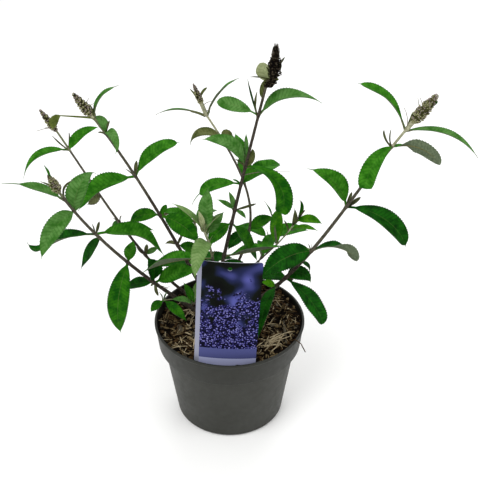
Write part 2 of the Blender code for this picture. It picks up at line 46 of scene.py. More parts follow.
# A stem: path = its four curve points, thick = diameter at foot and top, boughEnd = share where
# the bare bough ends. spike = reach of its tip from the top, and girth, look = the spike's colours.
# A leaf: share along the stem, heading, rise, length, width, bend, roll, its colour kind, and for
# some what differs from the blade table below.
stems = {
    "low_left": {
        "path": ((-26, -2, 127), (-100, -2, 184), (-142, -38, 263), (-158, -72, 329)),
        "thick": (4.8, 2.6), "boughEnd": 0.24, "spike": ((-8, -2, 20), 10), "look": "greyGreen",
        "leaves": (
            (0.30, -2, 21, 53, 21, 36, 25, "fresh"),
            (0.30, 160, -25, 45, 14, 40, -35, "deep"),
            (0.47, -120, -74, 87, 23, 59, -30, "mid",
             {"fold": 0.25, "tip": 0.85, "twist": 0, "petiole": 0.03}),
            (0.47, 80, 30, 27, 13, 20, 5, "fresh"),
            (0.67, 165, -60, 52, 12.5, 15, -50, "deep", {"tip": 1.3, "petiole": 0.0}),
            (0.70, 24, -33, 91, 21, 68, 15, "fresh", {"fold": 0.75}),
            (0.70, 162, -33, 94, 18, 50, -10, "deep", {"fold": 0.75, "hook": -130, "twist": 0, "tip": 0.7}),
            (0.87, -125, -31, 62, 18, 78, -35, "young", {"fold": 0.5, "petiole": 0.03, "twist": 0}),
            (0.87, 69, 21, 62, 20, 121, 10, "young",
             {"fold": 0.45, "petiole": 0.0, "tip": 1.6, "twist": 0}),
            (0.95, 174, 14, 64, 11, 40, -10, "young", {"fold": 0.5, "tail": 0.26}),
            (0.95, 10, 65, 26, 4, 90, 20, "umber", {"fold": 0.3, "twist": 0, "petiole": 0.0}),
            (0.31, 157, 80, 33, 21, 76, -10, "deep"),
        ),
    },
    "far_left": {
        "path": ((-24, 12, 132), (-90, 22, 160), (-140, 44, 260), (-186, 70, 324)),
        "thick": (3.8, 2.2), "boughEnd": 0.30, "spike": ((-15, 0, 25), 9), "look": "olive",
        "leaves": (
            (0.36, 150, 30, 14, 5, 10, -15, "umber"),
            (0.36, 45, 5, 20, 7, 20, 25, "young"),
            (0.54, 6, -18, 40, 11, 0, 20, "mid"),
            (0.54, 128, -42, 30, 9, 18, -50, "mid"),
            (0.72, -157, -60, 25, 14, -101, -45, "umber"),
            (0.72, 45, 5, 35, 12, 40, 45, "mid"),
            (0.91, -177, -32, 70, 12, 81, -20, "fresh", {"fold": 0.6}),
            (0.91, 24, 30, 43, 12, 63, 35, "fresh", {"fold": 0.55, "petiole": 0.03}),
        ),
    },
    "mid_left": {
        "path": ((-22, 4, 142), (-53, 8, 213), (-93, 10, 304), (-134, 10, 368)),
        "thick": (4.4, 2.6), "boughEnd": 0.27, "spike": ((-18, 2, 25), 11), "look": "olive",
        "leaves": (
            (0.33, 30, -35, 34, 12, 30, 60, "mid"),
            (0.33, 158, -8, 17, 5, 81, -20, "umber"),
            (0.49, -20, -30, 53, 21, 60, 45, "mid"),
            (0.49, 175, -20, 40, 14, 80, -55, "mid"),
            (0.70, 0, 40, 64, 17, 55, 40, "fresh", {"fold": 0.5, "tip": 0.6}),
            (0.70, -160, -25, 73, 21, 60, -20, "fresh", {"fold": 0.75}),
            (0.92, -53, -44, 41, 10, 200, 15, "young",
             {"fold": 0.4, "petiole": 0.02, "tip": 1.5, "twist": 0}),
            (0.92, 137, 39, 27, 10, 132, -15, "young"),
            (1.00, 180, 4, 53, 9, 0, -70, "moss",
             {"petiole": 0.62, "hook": 95, "hookFrom": 0.62, "hookPower": 0.5, "tip": 0.7,
              "twist": -10, "wave": 0.0, "stalk": 2.2}),
            (1.00, 8, 51, 46, 11, 71, 5, "young", {"fold": 0.35, "tail": 0.08, "twist": 0}),
        ),
    },
    "tall_back": {
        "path": ((-12, 14, 140), (22, 30, 213), (53, 66, 220), (-25, 90, 334)),
        "thick": (3.4, 2.4), "boughEnd": 0.32, "spike": ((-13, 0, 36), 7.5), "look": "olive",
        "leaves": (
            (0.38, 20, 20, 34, 14, 60, 40, "mid"),
            (0.38, -155, -35, 34, 14, 60, -40, "deep"),
            (0.62, 90, 10, 52, 16, 50, 10, "mid"),
            (0.86, 163, -19, 50, 13, 124, -20, "olive"),
            (0.86, -20, 8, 22, 8, 208, 35, "olive"),
            (1.00, 174, -2, 59, 9, 54, 15, "young",
             {"fold": 0.15, "petiole": 0.30, "twist": 0, "stalk": 1.8}),
            (1.00, -28, 52, 67, 10, 33, 5, "young", {"fold": 0.4}),
        ),
    },
    "tall_centre": {
        "path": ((-17, 2, 146), (-2, 2, 230), (20, 2, 331), (37, 0, 406)),
        "thick": (4.6, 2.8), "boughEnd": 0.21, "spike": ((9, -1, 42), 14), "look": "umber",
        "leaves": (
            (0.24, 5, 8, 67, 20, -6, -20, "fresh", {"fold": 0.72, "twist": 0, "hook": 0}),
            (0.40, -150, -35, 38, 15, 50, -40, "mid"),
            (0.40, 22, -62, 66, 17, 18, 45, "mid", {"twist": 0}),
            (0.46, 180, 75, 24, 6, 10, -65, "young"),
            (0.46, 180, 35, 23, 5.5, 25, -35, "young"),
            (0.46, -25, -30, 16, 5, 60, 20, "young"),
            (0.58, 160, -33, 72, 15, 72, -40, "fresh", {"tip": 0.4, "tail": 0.27, "twist": 0}),
            (0.58, 38, 8, 54, 18, 43, 20, "fresh",
             {"fold": 0.4, "tip": 0.4, "wave": 0.16, "petiole": 0.04}),
            (0.66, 180, 35, 60, 18, 95, -25, "young"),
            (0.66, -20, -51, 77, 18, 129, 15, "mid",
             {"fold": 0.45, "tip": 0.3, "wave": 0.12, "tail": 0.0, "twist": 70, "twistFrom": 0.3,
              "petiole": 0.05}),
            (0.66, 88, 45, 36, 8, -10, 60, "young", {"petiole": 0.35}),
            (0.88, 0, 12, 72, 19, 95, 15, "young", {"fold": 0.5, "tip": 1.3}),
            (0.88, 170, 15, 45, 14, 30, -50, "young", {"fold": 0.25, "tip": 0.5, "petiole": 0.18}),
            (0.18, 160, 22, 36, 17, 40, 5, "deep"),
            (0.18, 12, -14, 34, 19, 10, 25, "deep"),
            (0.66, 105, 24, 46, 12, 37, 0, "fresh"),
        ),
    },
    "right": {
        "path": ((-8, -1, 130), (74, -2, 157), (115, -22, 286), (169, -36, 377)),
        "thick": (5.0, 2.6), "boughEnd": 0.20, "spike": ((25, -1, 36), 13), "look": "greyGreen",
        "leaves": (
            (0.24, -165, 25, 20, 9, 20, -45, "lime"),
            (0.24, -112, -32, 74, 13, 104, 0, "deep"),
            (0.29, -36, -38, 67, 21, 50, 10, "deep", {"tip": 0.45, "tail": 0.0, "wave": 0.14, "twist": 0}),
            (0.29, -9, -7, 36, 16, 137, 45, "deep"),
            (0.44, -162, -22, 64, 26, 62, -40, "deep", {"petiole": 0.02, "twist": 0}),
            (0.44, -7, -10, 57, 16, 100, -8, "deep",
             {"fold": 0.7, "tip": 0.5, "tail": 0.0, "twist": -72, "twistFrom": 0.45, "twistTo": 0.85,
              "petiole": 0.06}),
            (0.66, 178, 46, 65, 19, 74, -45, "fresh", {"fold": 0.6, "tail": 0.09}),
            (0.66, -12, -32, 82, 20, 75, 30, "deep", {"fold": 0.5, "tip": 0.5}),
            (0.93, -137, -43, 56, 17, 101, -25, "fresh",
             {"fold": 0.35, "tip": 0.3, "petiole": 0.03, "tail": 0.0, "twist": 0}),
            (0.93, -17, -15, 53, 15, 80, 30, "fresh",
             {"fold": 0.3, "tip": 0.6, "tail": 0.0, "twist": -118, "twistTo": 0.42, "petiole": 0.0}),
            (1.00, 176, 44, 70, 14, 57, -10, "fresh", {"fold": 0.5, "tip": 0.6, "petiole": 0.16}),
            (1.00, -3, -21, 82, 12, 64, 0, "young",
             {"fold": 0.45, "tip": 0.75, "petiole": 0.04, "tail": 0.07}),
        ),
    },
    "right_back": {
        "path": ((-10, 10, 138), (12, 22, 177), (53, 42, 184), (76, 55, 221)),
        "thick": (2.6, 1.4), "boughEnd": 0.45,
        "leaves": (
            (0.55, 70, 10, 44, 14, 50, 20, "fresh"),
            (0.73, 125, 89, 46, 16, -33, -20, "lime", {"tip": 0.6, "fold": 0.2, "petiole": 0.02}),
            (0.73, 144, 70, 54, 8, 34, 30, "fresh", {"petiole": 0.6}),
            (0.98, 2, -7, 33, 11, 72, 30, "lime"),
            (0.90, -30, 15, 36, 8, 44, 10, "lime"),
            (0.98, 48, 80, 34, 5, -137, 0, "mid"),
            (0.93, 119, 97, 27, 6, 53, -20, "umber"),
        ),
    },
    "young_front": {
        "path": ((-20, -8, 136), (-14, -20, 180), (-12, -38, 232), (-24, -48, 271)),
        "thick": (3.0, 2.2), "boughEnd": 0.70,
        "leaves": (
            (0.87, -107, -18, 61, 17, 143, -15, "pale", {"fold": 0.2, "petiole": 0.02}),
            (0.71, 165, -23, 89, 18, 28, 8, "fresh", {"fold": 0.85, "tip": 0.8, "twist": 0}),
            (1.00, 169, 43, 44, 10, 42, 0, "pale"),
            (0.95, 80, 75, 50, 18, 10, -15, "young", {"tip": 0.75}),
            (1.00, 11, 46, 26, 10, 26, -5, "pale"),
            (0.95, 50, 30, 32, 12, 20, 25, "young"),
            (1.00, 150, 75, 24, 6, 10, -30, "chalk"),
        ),
    },
    "low_front": {
        "path": ((-26, -10, 124), (-30, -13, 158), (-48, -14, 164), (-72, -16, 161)),
        "thick": (2.4, 1.4), "boughEnd": 0.36,
        "leaves": (
            (0.50, -150, 30, 31, 9, 30, -15, "young"),
            (0.50, 145, 60, 27, 9, 20, -25, "mid"),
            (0.50, 60, 40, 34, 12, 40, 20, "pale"),
            (1.00, -35, -25, 35, 11, 30, 30, "mid"),
            (1.00, -155, -35, 20, 10, 40, -30, "mid"),
        ),
    },
    "back_left": {
        "path": ((-22, 14, 134), (-34, 34, 160), (-40, 56, 182), (-40, 76, 206)),
        "thick": (3.0, 1.6), "boughEnd": 0.40,
        "leaves": (
            (0.50, 190, 0, 50, 17, 50, -20, "mid"),
            (0.50, 20, -5, 44, 16, 50, 20, "deep"),
            (0.76, 110, -15, 58, 18, 60, -10, "mid"),
            (0.98, 170, 15, 46, 15, 60, -20, "fresh"),
            (0.98, 60, -10, 52, 17, 60, 10, "young"),
        ),
    },
    "back_right": {
        "path": ((-10, 14, 128), (10, 30, 138), (36, 56, 156), (46, 80, 182)),
        "thick": (3.0, 1.6), "boughEnd": 0.40,
        "leaves": (
            (0.50, -20, 5, 50, 18, 50, 20, "deep"),
            (0.50, 150, 10, 40, 15, 50, -20, "deep"),
            (0.76, 80, -20, 60, 19, 60, 10, "mid"),
            (0.98, 20, 0, 54, 18, 60, 20, "fresh"),
            (0.98, 150, 5, 46, 16, 60, -10, "mid"),
        ),
    },
}


def toLinear(hexColour):  # sRGB hex to linear RGBA
    parts = [int(hexColour[i:i + 2], 16) / 255 for i in (1, 3, 5)]
    return [p / 12.92 if p <= 0.04045 else ((p + 0.055) / 1.055) ** 2.4 for p in parts] + [1.0]


def addNode(tree, kind, settings=None, links=None):  # a node with its settings and what feeds it
    node = tree.nodes.new(kind)
    for name, value in (settings or {}).items():
        if isinstance(name, str) and hasattr(node, name):
            setattr(node, name, value)
        else:
            node.inputs[name].default_value = value
    for name, source in (links or {}).items():
        tree.links.new(source, node.inputs[name])
    return node


def startMaterial(name, roughness, specular=0.5):  # an empty tree with its shader, and Object coordinates
    material = bpy.data.materials.new(name)
    material.use_nodes = True
    tree = material.node_tree
    shader = tree.nodes["Principled BSDF"]
    shader.inputs["Roughness"].default_value = roughness
    shader.inputs["Specular IOR Level"].default_value = specular
    coords = addNode(tree, "ShaderNodeTexCoord").outputs["Object"]
    return material, tree, shader, coords


def setRamp(node, stops):  # stops: place and hex colour
    ramp = node.color_ramp
    while len(ramp.elements) < len(stops):
        ramp.elements.new(0.5)
    for element, (place, colour) in zip(ramp.elements, stops):
        element.position = place
        element.color = toLinear(colour)


def ranged(tree, source, start, end, low=0.0, high=1.0):  # maps a value from one span to another
    spans = {"From Min": start, "From Max": end, "To Min": low, "To Max": high}
    return addNode(tree, "ShaderNodeMapRange", spans, {"Value": source}).outputs["Result"]


def feed(tree, node, values):  # values by input, each a number, a colour or a socket
    for name, value in values.items():
        if isinstance(value, bpy.types.NodeSocket):
            tree.links.new(value, node.inputs[name])
        else:
            node.inputs[name].default_value = value


def calc(tree, operation, *values):
    node = addNode(tree, "ShaderNodeMath", {"operation": operation})
    feed(tree, node, dict(enumerate(values)))
    return node.outputs[0]


def mixed(tree, factor, first, second):  # between two colours
    node = addNode(tree, "ShaderNodeMix", {"data_type": "RGBA"})
    feed(tree, node, {"Factor": factor, 6: first, 7: second})
    return node.outputs[2]


def addTint(tree, coords, mottle, places, tones):  # a noise and the ramp it drives: its height and colour
    source = addNode(tree, "ShaderNodeTexNoise", mottle, {"Vector": coords})
    tint = addNode(tree, "ShaderNodeValToRGB", links={"Fac": source.outputs["Fac"]})
    setRamp(tint, tuple(zip(places, tones)))
    return source.outputs["Fac"], tint.outputs["Color"]


def addBump(tree, shader, height, strength, distance, invert=False):
    bump = addNode(
        tree, "ShaderNodeBump", {"Strength": strength, "Distance": distance, "invert": invert},
        {"Height": height})
    tree.links.new(bump.outputs["Normal"], shader.inputs["Normal"])


def mottled(name, roughness, specular, mottle, places, tones, bump=None):
    # a skin in the two tones of one noise, which also raises it where bump = strength and distance
    material, tree, shader, coords = startMaterial(name, roughness, specular)
    height, colour = addTint(tree, coords, mottle, places, tones)
    tree.links.new(colour, shader.inputs["Base Color"])
    if bump:
        addBump(tree, shader, height, *bump)
    return material


def toMesh(name, work):  # turns a bmesh into a mesh and frees it
    mesh = bpy.data.meshes.new(name)
    work.to_mesh(mesh)
    work.free()
    return mesh


def addObject(name, data):  # a new object in the scene
    made = bpy.data.objects.new(name, data)
    bpy.context.scene.collection.objects.link(made)
    return made


def finishPiece(name, work, materials, replaced=()):
    mesh = toMesh(name, work)
    mesh.shade_smooth()
    mesh.set_sharp_from_angle(angle=math.radians(50))
    piece = addObject(name, mesh)
    for material in materials:
        mesh.materials.append(material)
    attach(piece, "root")
    if replaced:
        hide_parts(*replaced)
    return piece


def absorb(target, work):  # adds one bmesh to another and frees it
    mesh = toMesh("part", work)
    target.from_mesh(mesh)
    bpy.data.meshes.remove(mesh)


def turned(outline, steps):  # an outline of radius and height in mm, spun about the upright axis
    work = bmesh.new()
    corners = [work.verts.new((radius * mm, 0, height * mm)) for radius, height in outline]
    edges = [work.edges.new(pair) for pair in zip(corners, corners[1:])]
    bmesh.ops.spin(
        work, geom=corners + edges, axis=(0, 0, 1), cent=(0, 0, 0), dvec=(0, 0, 0),
        angle=math.tau, steps=steps, use_merge=True)
    bmesh.ops.remove_doubles(work, verts=work.verts, dist=0.01 * mm)
    return work


def addDrill(drills, radius, depth, matrix):  # a round cutter, in mm
    bmesh.ops.create_cone(
        drills, cap_ends=True, segments=24, radius1=radius * mm, radius2=radius * mm, depth=depth * mm,
        matrix=matrix)


def bore(piece, drills):  # cuts a bmesh of drills out of a finished piece
    drill = addObject("drills", toMesh("drills", drills))
    boolean = piece.modifiers.new("drill", "BOOLEAN")
    boolean.operation = "DIFFERENCE"
    boolean.solver = "EXACT"
    boolean.object = drill
    graph = bpy.context.evaluated_depsgraph_get()
    bored = bpy.data.meshes.new_from_object(piece.evaluated_get(graph))
    piece.modifiers.clear()
    piece.data = bored
    bpy.data.objects.remove(drill)


# Camera: standing in front of the bush, looking down on it by a third of a right angle
camera = {"place": (0.0119, -0.7970, 0.7465), "tilt": 57.03, "lens": 66.5, "sensor": 36}


def makeCamera():
    data = bpy.data.cameras.new("camera")
    data.lens = camera["lens"]
    data.sensor_width = camera["sensor"]
    eye = addObject("camera", data)
    eye.location = camera["place"]
    eye.rotation_euler = (math.radians(camera["tilt"]), 0, 0)
    bpy.context.scene.camera = eye


# Studio: white surroundings, a broad key from the upper left, a fill and a light from behind
studio = {
    "world": "#ffffff", "worldStrength": 0.62,
    "floor": ("#f8f8f7", "#fcfcfb"), "floorHalf": 12.0, "aim": (0, 0, 0.22),
    "lights": (
        # place, size in metres, watts
        ((-0.9, -1.0, 1.7), 1.4, 24),
        ((1.3, -0.7, 1.2), 1.4, 10),
        ((0.2, 1.3, 1.5), 1.6, 15),
    ),
}


def makeStudio():
    scene = bpy.context.scene
    scene.view_settings.view_transform = "Standard"
    world = bpy.data.worlds.new("softbox")
    world.use_nodes = True
    scene.world = world
    sky = world.node_tree.nodes["Background"]
    sky.inputs["Color"].default_value = toLinear(studio["world"])
    sky.inputs["Strength"].default_value = studio["worldStrength"]
    for index, (place, size, watts) in enumerate(studio["lights"]):
        data = bpy.data.lights.new(f"softLight{index}", "AREA")
        data.shape = "DISK"
        data.size = size
        data.energy = watts
        light = addObject(f"softLight{index}", data)
        light.location = place
        aim = Vector(studio["aim"]) - light.location
        light.rotation_euler = aim.to_track_quat("-Z", "Y").to_euler()
    work = bmesh.new()
    bmesh.ops.create_grid(work, x_segments=1, y_segments=1, size=studio["floorHalf"])
    floor = addObject("floor", toMesh("floor", work))
    # Matte white studio board: the faintest cloudiness and no shine
    board = mottled("matteStudioBoard", 0.9, 0.1, {"Scale": 1.5, "Detail": 1.0}, (0.3, 0.7), studio["floor"])
    floor.data.materials.append(board)


# Pot: thin moulded bucket, radius and height of each corner of its wall, outside then inside
pot = {
    "wall": 1.6, "steps": 128, "edgeRound": 0.55, "sharpFrom": 25, "colour": ("#282923", "#2f302b"),
    "outside": (
        (59.8, 0.0), (62.3, 2.5), (75.3, 93.0), (75.9, 94.6), (80.6, 95.0), (81.3, 96.2),
        (84.0, 121.2), (84.4, 121.8), (85.0, 122.4), (85.0, 124.4), (84.2, 125.0),
    ),
    "inside": ((82.5, 125.0), (79.7, 96.6), (73.9, 93.4), (60.7, 1.6)),
    # the collar's tone is painted shade: from collarFrom up, the collar under the rim is drawn darker
    "holes": 6, "holeRadius": 5.0, "holeRing": 45.0, "collarFrom": 94.0, "collarShadeTone": "#22231e",
    # the inner wall's tones: painted shade of the pot's inside
    "paintedInnerShade": ("#11100c", "#24231c"),
}


def potPlastic():
    # Recycled polypropylene, injection moulded: a dull warm grey with a fine orange-peel grain,
    # broad faint flow marks, and scuffs that are a shade lighter
    material, tree, shader, coords = startMaterial("recycledPolypropylene", 0.55, 0.28)
    tint = addTint(tree, coords, {"Scale": 22.0, "Detail": 3.0}, (0.35, 0.65), pot["colour"])[1]
    axes = addNode(tree, "ShaderNodeSeparateXYZ", links={"Vector": coords})  # painted shade: the collar under the rim is drawn darker
    start = pot["collarFrom"] * mm
    collar = ranged(tree, axes.outputs["Z"], start, start + 2 * mm, high=0.8)
    collarShadedColour = mixed(tree, collar, tint, toLinear(pot["collarShadeTone"]))
    tree.links.new(collarShadedColour, shader.inputs["Base Color"])
    scuff = addNode(tree, "ShaderNodeTexNoise", {"Scale": 140.0, "Detail": 4.0}, {"Vector": coords})
    gloss = ranged(tree, scuff.outputs["Fac"], 0.0, 1.0, 0.45, 0.68)
    tree.links.new(gloss, shader.inputs["Roughness"])
    # the real grain is about 0.3 mm and would not show, so it is drawn about 1 mm wide
    grain = addNode(tree, "ShaderNodeTexNoise", {"Scale": 900.0, "Detail": 2.0}, {"Vector": coords})
    addBump(tree, shader, grain.outputs["Fac"], 0.12, 0.0004)
    return material


def innerShadePlastic():
    # The same plastic inside, darkened as painted shade of the pot's inside, and dull
    innerMottle = {"Scale": 90.0, "Detail": 4.0}
    return mottled("innerWallPaintedShade", 0.9, 0.08, innerMottle, (0.35, 0.65), pot["paintedInnerShade"])


def makePot():
    work = turned(((0.0, 0.0), *pot["outside"], *pot["inside"], (0.0, pot["wall"])), pot["steps"])
    bmesh.ops.recalc_face_normals(work, faces=work.faces)
    work.normal_update()
    sharp = [
        edge for edge in work.edges
        if len(edge.link_faces) == 2 and edge.calc_face_angle() > math.radians(pot["sharpFrom"])]
    bmesh.ops.bevel(
        work, geom=sharp, offset=pot["edgeRound"] * mm, segments=3, profile=0.5, affect="EDGES",
        clamp_overlap=True, material=-1)
    work.normal_update()
    for face in work.faces:
        centre = face.calc_center_median()
        facesAxis = face.normal.xy.dot(centre.xy.normalized()) < -0.7  # the inner wall
        face.material_index = 1 if facesAxis else 0
    drills = bmesh.new()
    for index in range(pot["holes"]):
        turn = math.tau * (index + 0.5) / pot["holes"]
        place = Vector((math.cos(turn), math.sin(turn), 0)) * pot["holeRing"] * mm
        addDrill(drills, pot["holeRadius"], 4 * pot["wall"], Matrix.Translation(place))
    bore(finishPiece("nurseryPot", work, [potPlastic(), innerShadePlastic()], ["pot"]), drills)
    print("pot: turned, rounded and drilled")


# Potting bark: filled to just under the rim, a little lower at the wall
soil = {
    "top": 115.7, "edgeDrop": 1.0, "levelRadius": 58.0, "edgeRadius": 81.0, "steps": 96, "rings": 30,
    "relief": 2.2, "lump": 9.0, "seed": 21, "keepOff": 7.0, "rightRise": 5.5, "patch": 2.5,
    "under": ((79.1, 97.0), (73.2, 92.4), (60.3, 2.0), (0.0, 2.0)),
    # loose bark: how many, usual length, every nth is long, long length, tones and their odds
    "chips": (950, (2.5, 6.5), 6, (6, 12), (0, 1, 2, 4), (36, 32, 20, 12)),
    "fibres": (820, (6, 15), 7, (15, 26), (0, 1, 2, 3), (20, 30, 30, 20)),
    "crumbs": 700, "crumbRadius": (0.5, 1.6), "crumbOdds": (60, 30, 10),
    # long pale straws at the front right: how many, centre, spread, heading
    "straws": (18, (50, -38), (13, 10), 35), "strand": ((62, -20), 92, 40, 3.2),
    # a dry stalk over the rim, through these places
    "overRim": ((62, -36, 118), (72.5, -41, 126.2), (79, -42.5, 121), (84, -43, 110)),
}


def soilHeight(x, y):  # height of the filling at a place, all in mm
    radius = math.hypot(x, y)
    slope = max(0.0, radius - soil["levelRadius"]) / (soil["edgeRadius"] - soil["levelRadius"])
    lumps = noise.noise(Vector((x, y, 3.0)) / soil["lump"])
    lumps += 0.5 * noise.noise(Vector((x, y, 9.0)) / soil["lump"] * 2.7)
    rise = soil["rightRise"] * min(1.0, max(0.0, x / soil["edgeRadius"]))
    return soil["top"] + rise - soil["edgeDrop"] * min(1.0, slope) + soil["relief"] * lumps


def barkMaterial(name, tones):
    # Composted pine bark: dull and crumbly, mottled along its torn faces
    mottle = {"Scale": 1000 / soil["patch"], "Detail": 5.0, "Roughness": 0.65}
    return mottled(name, 0.95, 0.06, mottle, (0.34, 0.66), tones, (0.6, 0.0005))


barkColours = {
    # near black: partly painted shade where the fill shows between the chips, partly dark damp bark
    "darkBarkAndGapShade": ("#030201", "#150d07"),
    "brownBark": ("#1f1206", "#4c3a24"),
    "tanBark": ("#463a24", "#7a6b4e"),
    "strawFibre": ("#7d6f55", "#b9ab8c"),
    "greyBark": ("#2e2a20", "#5e584b"),
}


def labelDepth(x):  # where the card stands, in mm, at a place across it
    offMiddle = abs(x - label["centre"][0]) / (label["width"] / 2)
    return label["centre"][1] + label["bow"] * min(1.0, offMiddle) ** 2


def clearOfCard(x, y, reach):
    inWidth = abs(x - label["centre"][0]) < label["width"] / 2 + reach
    return not (inWidth and abs(y - labelDepth(x)) < reach + 0.8)


def scatterPlace(rng, reach):  # a free place on the filling, in mm
    while True:
        turn = rng.uniform(0, math.tau)
        radius = (soil["edgeRadius"] - reach * 0.6) * math.sqrt(rng.random())
        x, y = radius * math.cos(turn), radius * math.sin(turn)
        nearStump = math.hypot(x - stump["foot"][0], y - stump["foot"][1]) < soil["keepOff"]
        if not nearStump and clearOfCard(x, y, reach):
            return x, y


torn = {"taper": 0.55, "width": (0.7, 1.25), "shift": 0.07}  # how ragged a torn piece is


def sliver(target, place, turn, tilt, size, bend, slot, rng, parts=(3, 1)):
    # a flat torn piece, size = length, width and thickness in mm
    work = bmesh.new()
    bmesh.ops.create_grid(work, x_segments=parts[0], y_segments=parts[1], size=0.5)
    for vertex in work.verts:
        taper = 1 - torn["taper"] * abs(vertex.co.x * 2) ** 2
        vertex.co.y *= taper * rng.uniform(*torn["width"])
        vertex.co.x += rng.uniform(-torn["shift"], torn["shift"])
        arch = bend * (0.25 - vertex.co.x**2) * 4
        vertex.co = (vertex.co.x * size[0], vertex.co.y * size[1], arch)
    work.normal_update()
    bmesh.ops.solidify(work, geom=work.faces[:], thickness=size[2])
    bmesh.ops.recalc_face_normals(work, faces=work.faces)
    for face in work.faces:
        face.material_index = slot
    lie = Matrix.Rotation(turn, 4, "Z") @ Matrix.Rotation(tilt[0], 4, "Y") @ Matrix.Rotation(tilt[1], 4, "X")
    bmesh.ops.transform(work, matrix=Matrix.Translation(place) @ lie, verts=work.verts)
    bmesh.ops.scale(work, vec=(mm, mm, mm), verts=work.verts)
    absorb(target, work)


def makeSoil():
    rng = random.Random(soil["seed"])
    materials = [barkMaterial(name, tones) for name, tones in barkColours.items()]
    line = [(ring / soil["rings"] * soil["edgeRadius"], soil["top"]) for ring in range(soil["rings"] + 1)]
    work = turned(line + list(soil["under"]), soil["steps"])
    for vertex in work.verts:
        if vertex.co.z > 100 * mm:
            vertex.co.z = soilHeight(vertex.co.x / mm, vertex.co.y / mm) * mm
    bmesh.ops.recalc_face_normals(work, faces=work.faces)
    # the fill takes the near-black tone: painted shade in the gaps between the chips
    finishPiece("pottingFill", work, materials[:1], ["soil"])

    chips = bmesh.new()
    count, usual, every, long, tones, odds = soil["chips"]
    for index in range(count):
        length = rng.uniform(*usual) if index % every else rng.uniform(*long)
        size = (length, length * rng.uniform(0.35, 0.8), rng.uniform(0.5, 1.4))
        x, y = scatterPlace(rng, length / 2)
        place = Vector((x, y, soilHeight(x, y) + rng.uniform(0.1, 1.6)))
        tilt = (rng.gauss(0, 0.28), rng.gauss(0, 0.35))
        slot = rng.choices(tones, odds)[0]
        sliver(chips, place, rng.uniform(0, math.tau), tilt, size, rng.uniform(0, 0.8), slot, rng)
    finishPiece("barkChips", chips, materials, ["soil"])

    strands = bmesh.new()
    count, usual, every, long, tones, odds = soil["fibres"]
    for index in range(count):
        length = rng.uniform(*usual) if index % every else rng.uniform(*long)
        size = (length, rng.uniform(0.5, 1.5), rng.uniform(0.3, 0.7))
        x, y = scatterPlace(rng, length / 2)
        place = Vector((x, y, soilHeight(x, y) + rng.uniform(1.0, 2.6)))
        tilt = (rng.gauss(0, 0.10), rng.gauss(0, 0.5))
        slot = rng.choices(tones, odds)[0]
        turn, bend = rng.uniform(0, math.tau), rng.uniform(-1.2, 1.6)
        sliver(strands, place, turn, tilt, size, bend, slot, rng, (5, 1))
    count, centre, spread, heading = soil["straws"]
    for index in range(count):
        x, y = centre[0] + rng.gauss(0, spread[0] * 0.5), centre[1] + rng.gauss(0, spread[1] * 0.5)
        length = rng.uniform(15, 27)
        place = Vector((x, y, soilHeight(x, y) + rng.uniform(2.0, 4.0)))
        turn = math.radians(heading + rng.gauss(0, 28))
        tilt = (rng.gauss(0, 0.06), rng.gauss(0, 0.4))
        sliver(strands, place, turn, tilt, (length, rng.uniform(0.9, 1.8), 0.5), 0.5, 3, rng, (6, 1))
    centre, heading, length, width = soil["strand"]
    place = Vector((*centre, soilHeight(*centre) + 3.2))
    sliver(strands, place, math.radians(heading), (0.0, 0.2), (length, width, 0.8), 1.0, 4, rng, (5, 1))
    stalk = [(Vector(point), 0.55) for point in soil["overRim"]]
    tube(strands, stalk, 6, [1] * len(stalk))
    finishPiece("barkFibres", strands, materials, ["soil"])

    crumbs = bmesh.new()
    for index in range(soil["crumbs"]):
        x, y = scatterPlace(rng, 1.0)
        place = Vector((x, y, soilHeight(x, y) + rng.uniform(0.2, 1.0))) * mm
        radius = rng.uniform(*soil["crumbRadius"]) * mm
        squash = Matrix.Diagonal((1, rng.uniform(0.6, 1), rng.uniform(0.5, 0.9), 1))
        made = bmesh.ops.create_icosphere(
            crumbs, subdivisions=1, radius=radius,
            matrix=Matrix.Translation(place) @ Matrix.Rotation(rng.uniform(0, 3), 4, "Z") @ squash)
        slot = rng.choices((0, 1, 2), soil["crumbOdds"])[0]
        for face in {face for vertex in made["verts"] for face in vertex.link_faces}:
            face.material_index = slot
    finishPiece("barkCrumbs", crumbs, materials, ["soil"])
    print("soil: fill, chips, fibres and crumbs")


# Plant label: a bowed plastic card that stands just inside the front rim
label = {
    "width": 66.0, "top": 249.5, "foot": 100.0, "thick": 0.6, "bow": 2.8,
    "centre": (-4.5, -71.8, 116.0), "lean": 3.0, "cornerRound": 3.0, "strips": 16,
    "hole": (2.0, 241.7), "holeRadius": 2.3,
    # bands of the print: axis, limit in card widths, colour
    "bands": (("Y", 0.590, "#484c7c"), ("Y", 0.385, "#a1a5c8"), ("X", 0.072, "#8d8fa0")),
}


